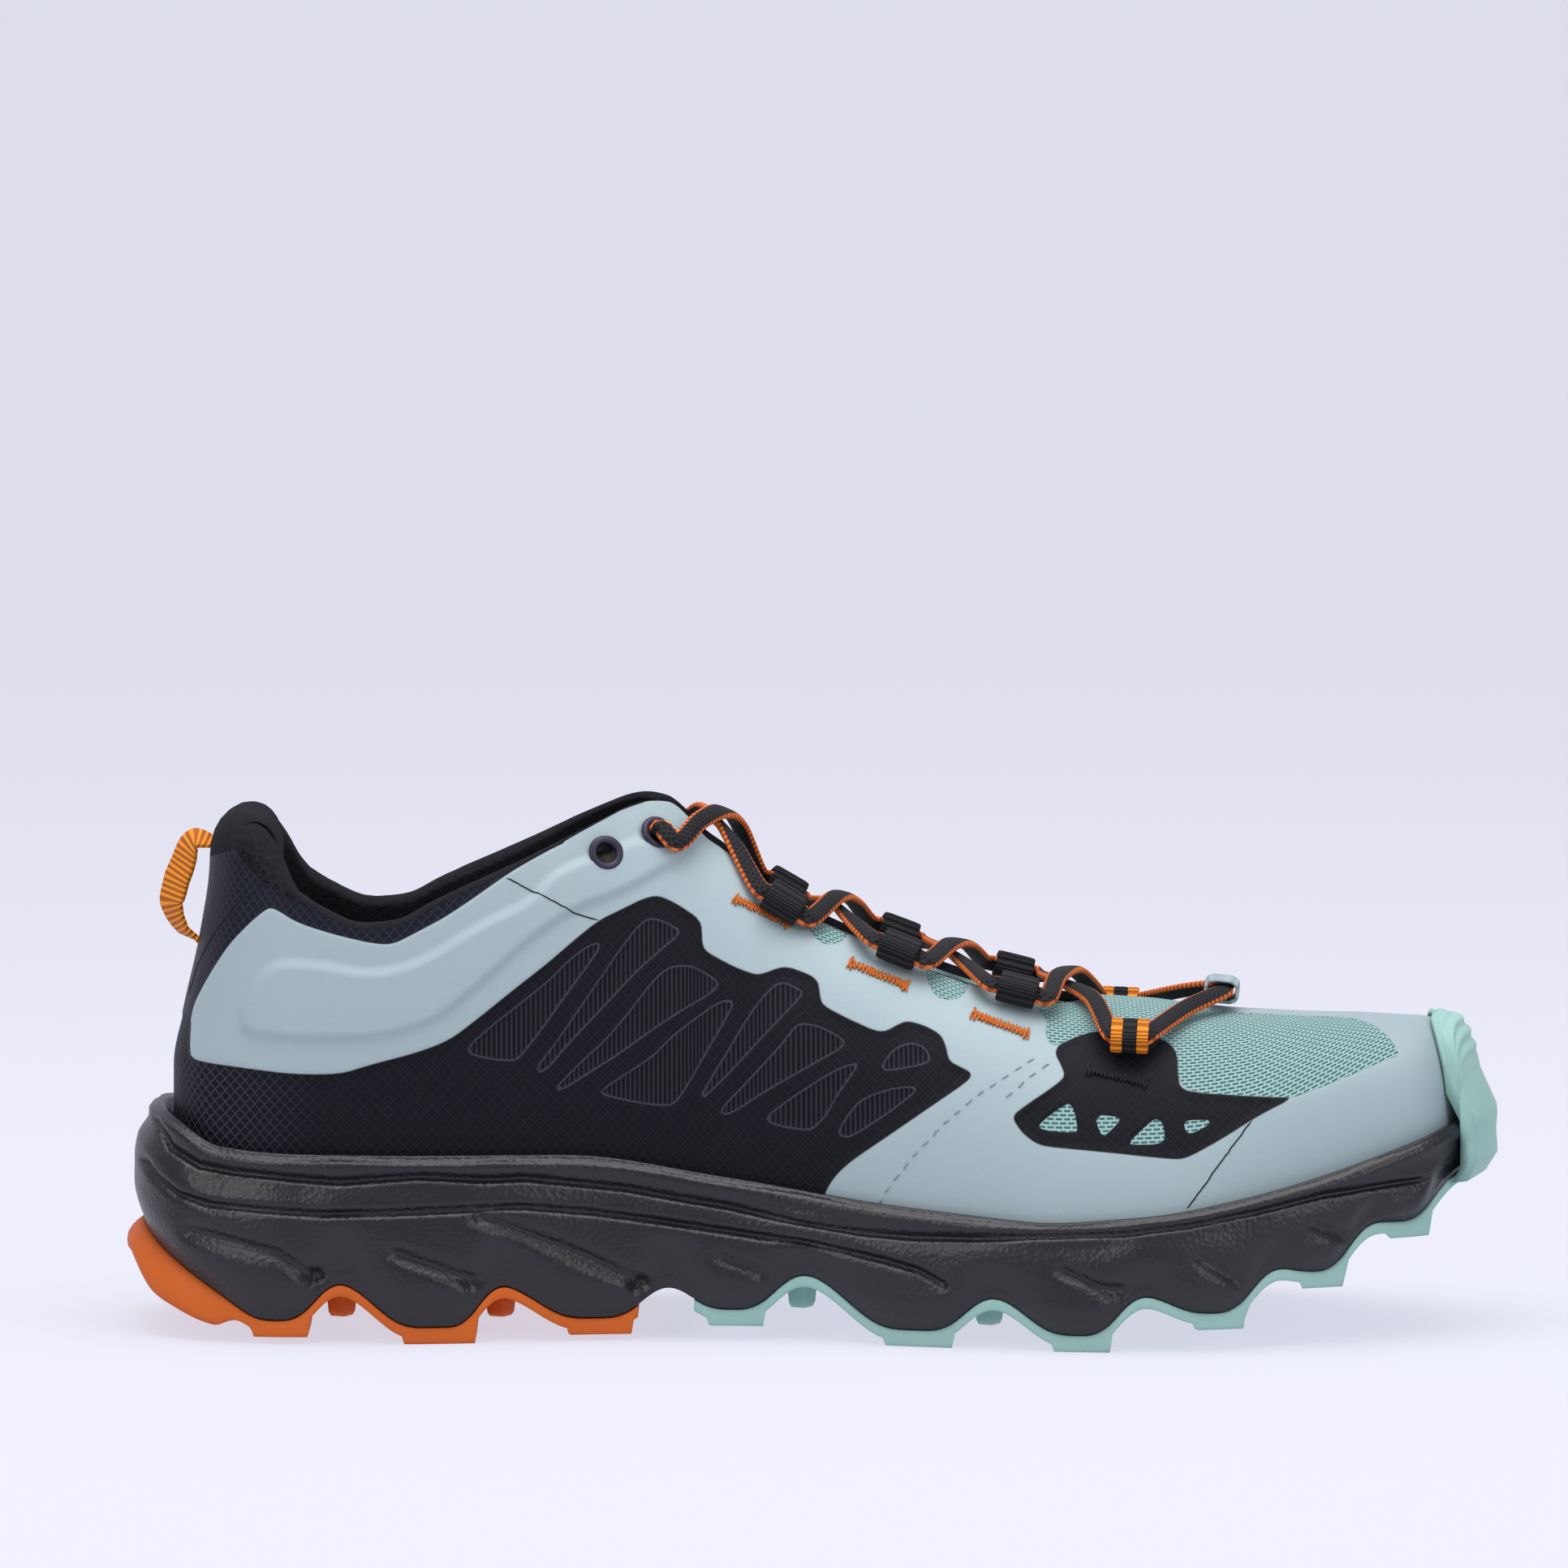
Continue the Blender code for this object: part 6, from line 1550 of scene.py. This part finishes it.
# Points on the skin at places in the photo: a weighted mean of the four nearest, lifted along
# their normals
def onSkin(line, side, lift):
    part = skins[side]
    flat = part["places"].reshape(-1, 2)
    shown, ways = part["shown"].reshape(-1, 3), part["normals"].reshape(-1, 3)
    found = []
    for target in line:
        away = np.linalg.norm(flat - target, axis=1)
        near = np.argpartition(away, 4)[:4]
        weight = 1 / (away[near] + 0.3)
        weight /= weight.sum()
        found.append(weight @ shown[near] + weight @ ways[near] * lift)
    return np.array(found)


# Evenly spaced places along a line of straight steps
def evenLine(line, spacing):
    line = np.array(line, float)
    run = runAlong(line)
    at = np.linspace(0, run[-1], max(int(run[-1] / spacing), 2))
    return np.column_stack([np.interp(at, run, line[:, k]) for k in (0, 1)])


# A round thread along a path: a ring of points about each step of it
def threadRings(path, radius, sides=8):
    along = unit(np.gradient(path, axis=0), 1e-9)
    across = unit(np.cross(along, [0.13, 0.31, 0.94]), 1e-9)
    upward = np.cross(across, along)
    turn = circle(sides)
    taper = np.ones(len(path))
    taper[0] = taper[-1] = 0.3
    return (path[:, None] + (across[:, None] * np.cos(turn)[None, :, None]
                             + upward[:, None] * np.sin(turn)[None, :, None])
            * (radius * taper)[:, None, None])


# Several threads as one piece
def threadsPiece(name, paths, radius, finish, slotName):
    points, quads, uv, start = [], [], [], 0
    for path in paths:
        rings = threadRings(path, radius)
        quads.append(gridFaces(*rings.shape[:2], wrapColumns=True, start=start))
        uv.append(tubeMeasures(rings, runAlong(path)).reshape(-1, 2))
        points.append(rings.reshape(-1, 3))
        start += rings.shape[0] * rings.shape[1]
    made = addPiece(name, np.concatenate(points), np.concatenate(quads), finish, np.concatenate(uv), weld=0)
    return made


tackThread, stitchThread = 0.26 * mm, 0.16 * mm
dashSteps, dashPitch = 6, 9
tackLooks = {"orange": (orangeThread, "orange_webbing"), "black": (blackThread, "black_webbing")}
for side, label in ((-1, "inner"), (1, "outer")):
    for k, tack in enumerate(tackLines):
        first, last = np.array(tack["from"], float), np.array(tack["to"], float)
        length = np.linalg.norm(last - first)
        way = (last - first) / length
        across = np.array([-way[1], way[0]])
        turnsHere = int(length / 2.4)
        t = np.linspace(0, 1, turnsHere * 6 + 1)
        swing = np.abs((t * turnsHere) % 2 - 1) * 2 - 1
        size = 4.6 + 3.0 * (np.abs(t - 0.5) > 0.42)
        line = first + way * (t * length)[:, None] + across * (swing * size)[:, None]
        path = onSkin(line, side, 0.30 * mm)
        threadsPiece(f"tack_{label}_{k}", [path], tackThread, *tackLooks[tack["finish"]])
    dashes = []
    for line in stitchLines:
        dense = evenLine(line, 2.0)
        for first in range(0, len(dense) - dashSteps, dashPitch):
            dashes.append(onSkin(dense[first:first + dashSteps], side, 0.12 * mm))
    threadsPiece(f"stitches_{label}", dashes, stitchThread, paleThread, "grey_film")
    seams = [onSkin(evenLine(line, 5.0), side, 0.02 * mm) for line in seamLines]
    threadsPiece(f"seams_{label}", seams, stitchThread, blackThread, "grey_film")
print("tacks, stitches and seams")

# The photo's room: a pale floor that runs up into the background, and broad soft lights
floorFinish = newFinish("pale_floor", (0.20, 0.20, 0.22), 0.9, None, 0.0)
glow = floorFinish.node_tree.nodes["Principled BSDF"]
glow.inputs["Emission Color"].default_value = (0.600, 0.600, 0.690, 1)
glow.inputs["Emission Strength"].default_value = 1.0
sweepTurn = np.linspace(0, np.pi / 2, 24)
sweepSide = [(-3.0, 0.0)] + [(1.6 + 0.9 * np.sin(t), 0.9 - 0.9 * np.cos(t)) for t in sweepTurn] + [(2.5, 4.0)]
sweepPoints = [[x, y, z] for x in (-4.0, 4.0) for y, z in sweepSide]
sweepMesh = bpy.data.meshes.new("floor")
sweepMesh.from_pydata(sweepPoints, [], gridFaces(2, len(sweepSide)).tolist())
sweepMesh.shade_smooth()
sweepMesh.materials.append(floorFinish)
floor = bpy.data.objects.new("floor", sweepMesh)
bpy.context.scene.collection.objects.link(floor)


# A broad light turned towards the shoe
def softLight(name, place, size, power, colour=(1, 1, 1)):
    light = bpy.data.lights.new(name, "AREA")
    light.shape = "RECTANGLE"
    light.size, light.size_y = size
    light.energy = power
    light.color = colour
    holder = bpy.data.objects.new(name, light)
    holder.location = place
    holder.rotation_euler = (Vector((0, 0, 0.05)) - Vector(place)).to_track_quat("-Z", "Y").to_euler()
    bpy.context.scene.collection.objects.link(holder)


softLight("overhead", (0.0, -0.10, 1.15), (1.3, 1.0), 14)
softLight("front_left", (-0.9, -1.1, 0.85), (0.7, 0.7), 5.5)
softLight("front_right", (1.0, -1.0, 0.7), (0.7, 0.7), 4.5)
world = bpy.data.worlds.new("room")
bpy.context.scene.world = world
world.use_nodes = True
background = world.node_tree.nodes["Background"]
background.inputs[0].default_value = (0.90, 0.90, 0.98, 1)
background.inputs[1].default_value = 0.42

cameraTilt = np.radians(5.5)
frameWidth = photoSize / photoScale
lens, sensor = 250.0, 36.0
distance = frameWidth * lens / sensor
backward = Vector((0, -np.cos(cameraTilt), np.sin(cameraTilt)))
camera = bpy.data.cameras.new("camera")
camera.lens, camera.sensor_width = lens, sensor
camera.clip_end = 20
holder = bpy.data.objects.new("camera", camera)
middleX = (photoSize / 2 - photoLeft) / photoScale - shoeLength / 2
target = Vector((middleX, 0.0, (photoFloor - photoSize / 2) / photoScale - nearSide * photoTilt))
holder.location = target + backward * distance
holder.rotation_euler = (-backward).to_track_quat("-Z", "Y").to_euler()
bpy.context.scene.collection.objects.link(holder)
bpy.context.scene.camera = holder
bpy.context.scene.view_settings.view_transform = "Standard"
print("room")
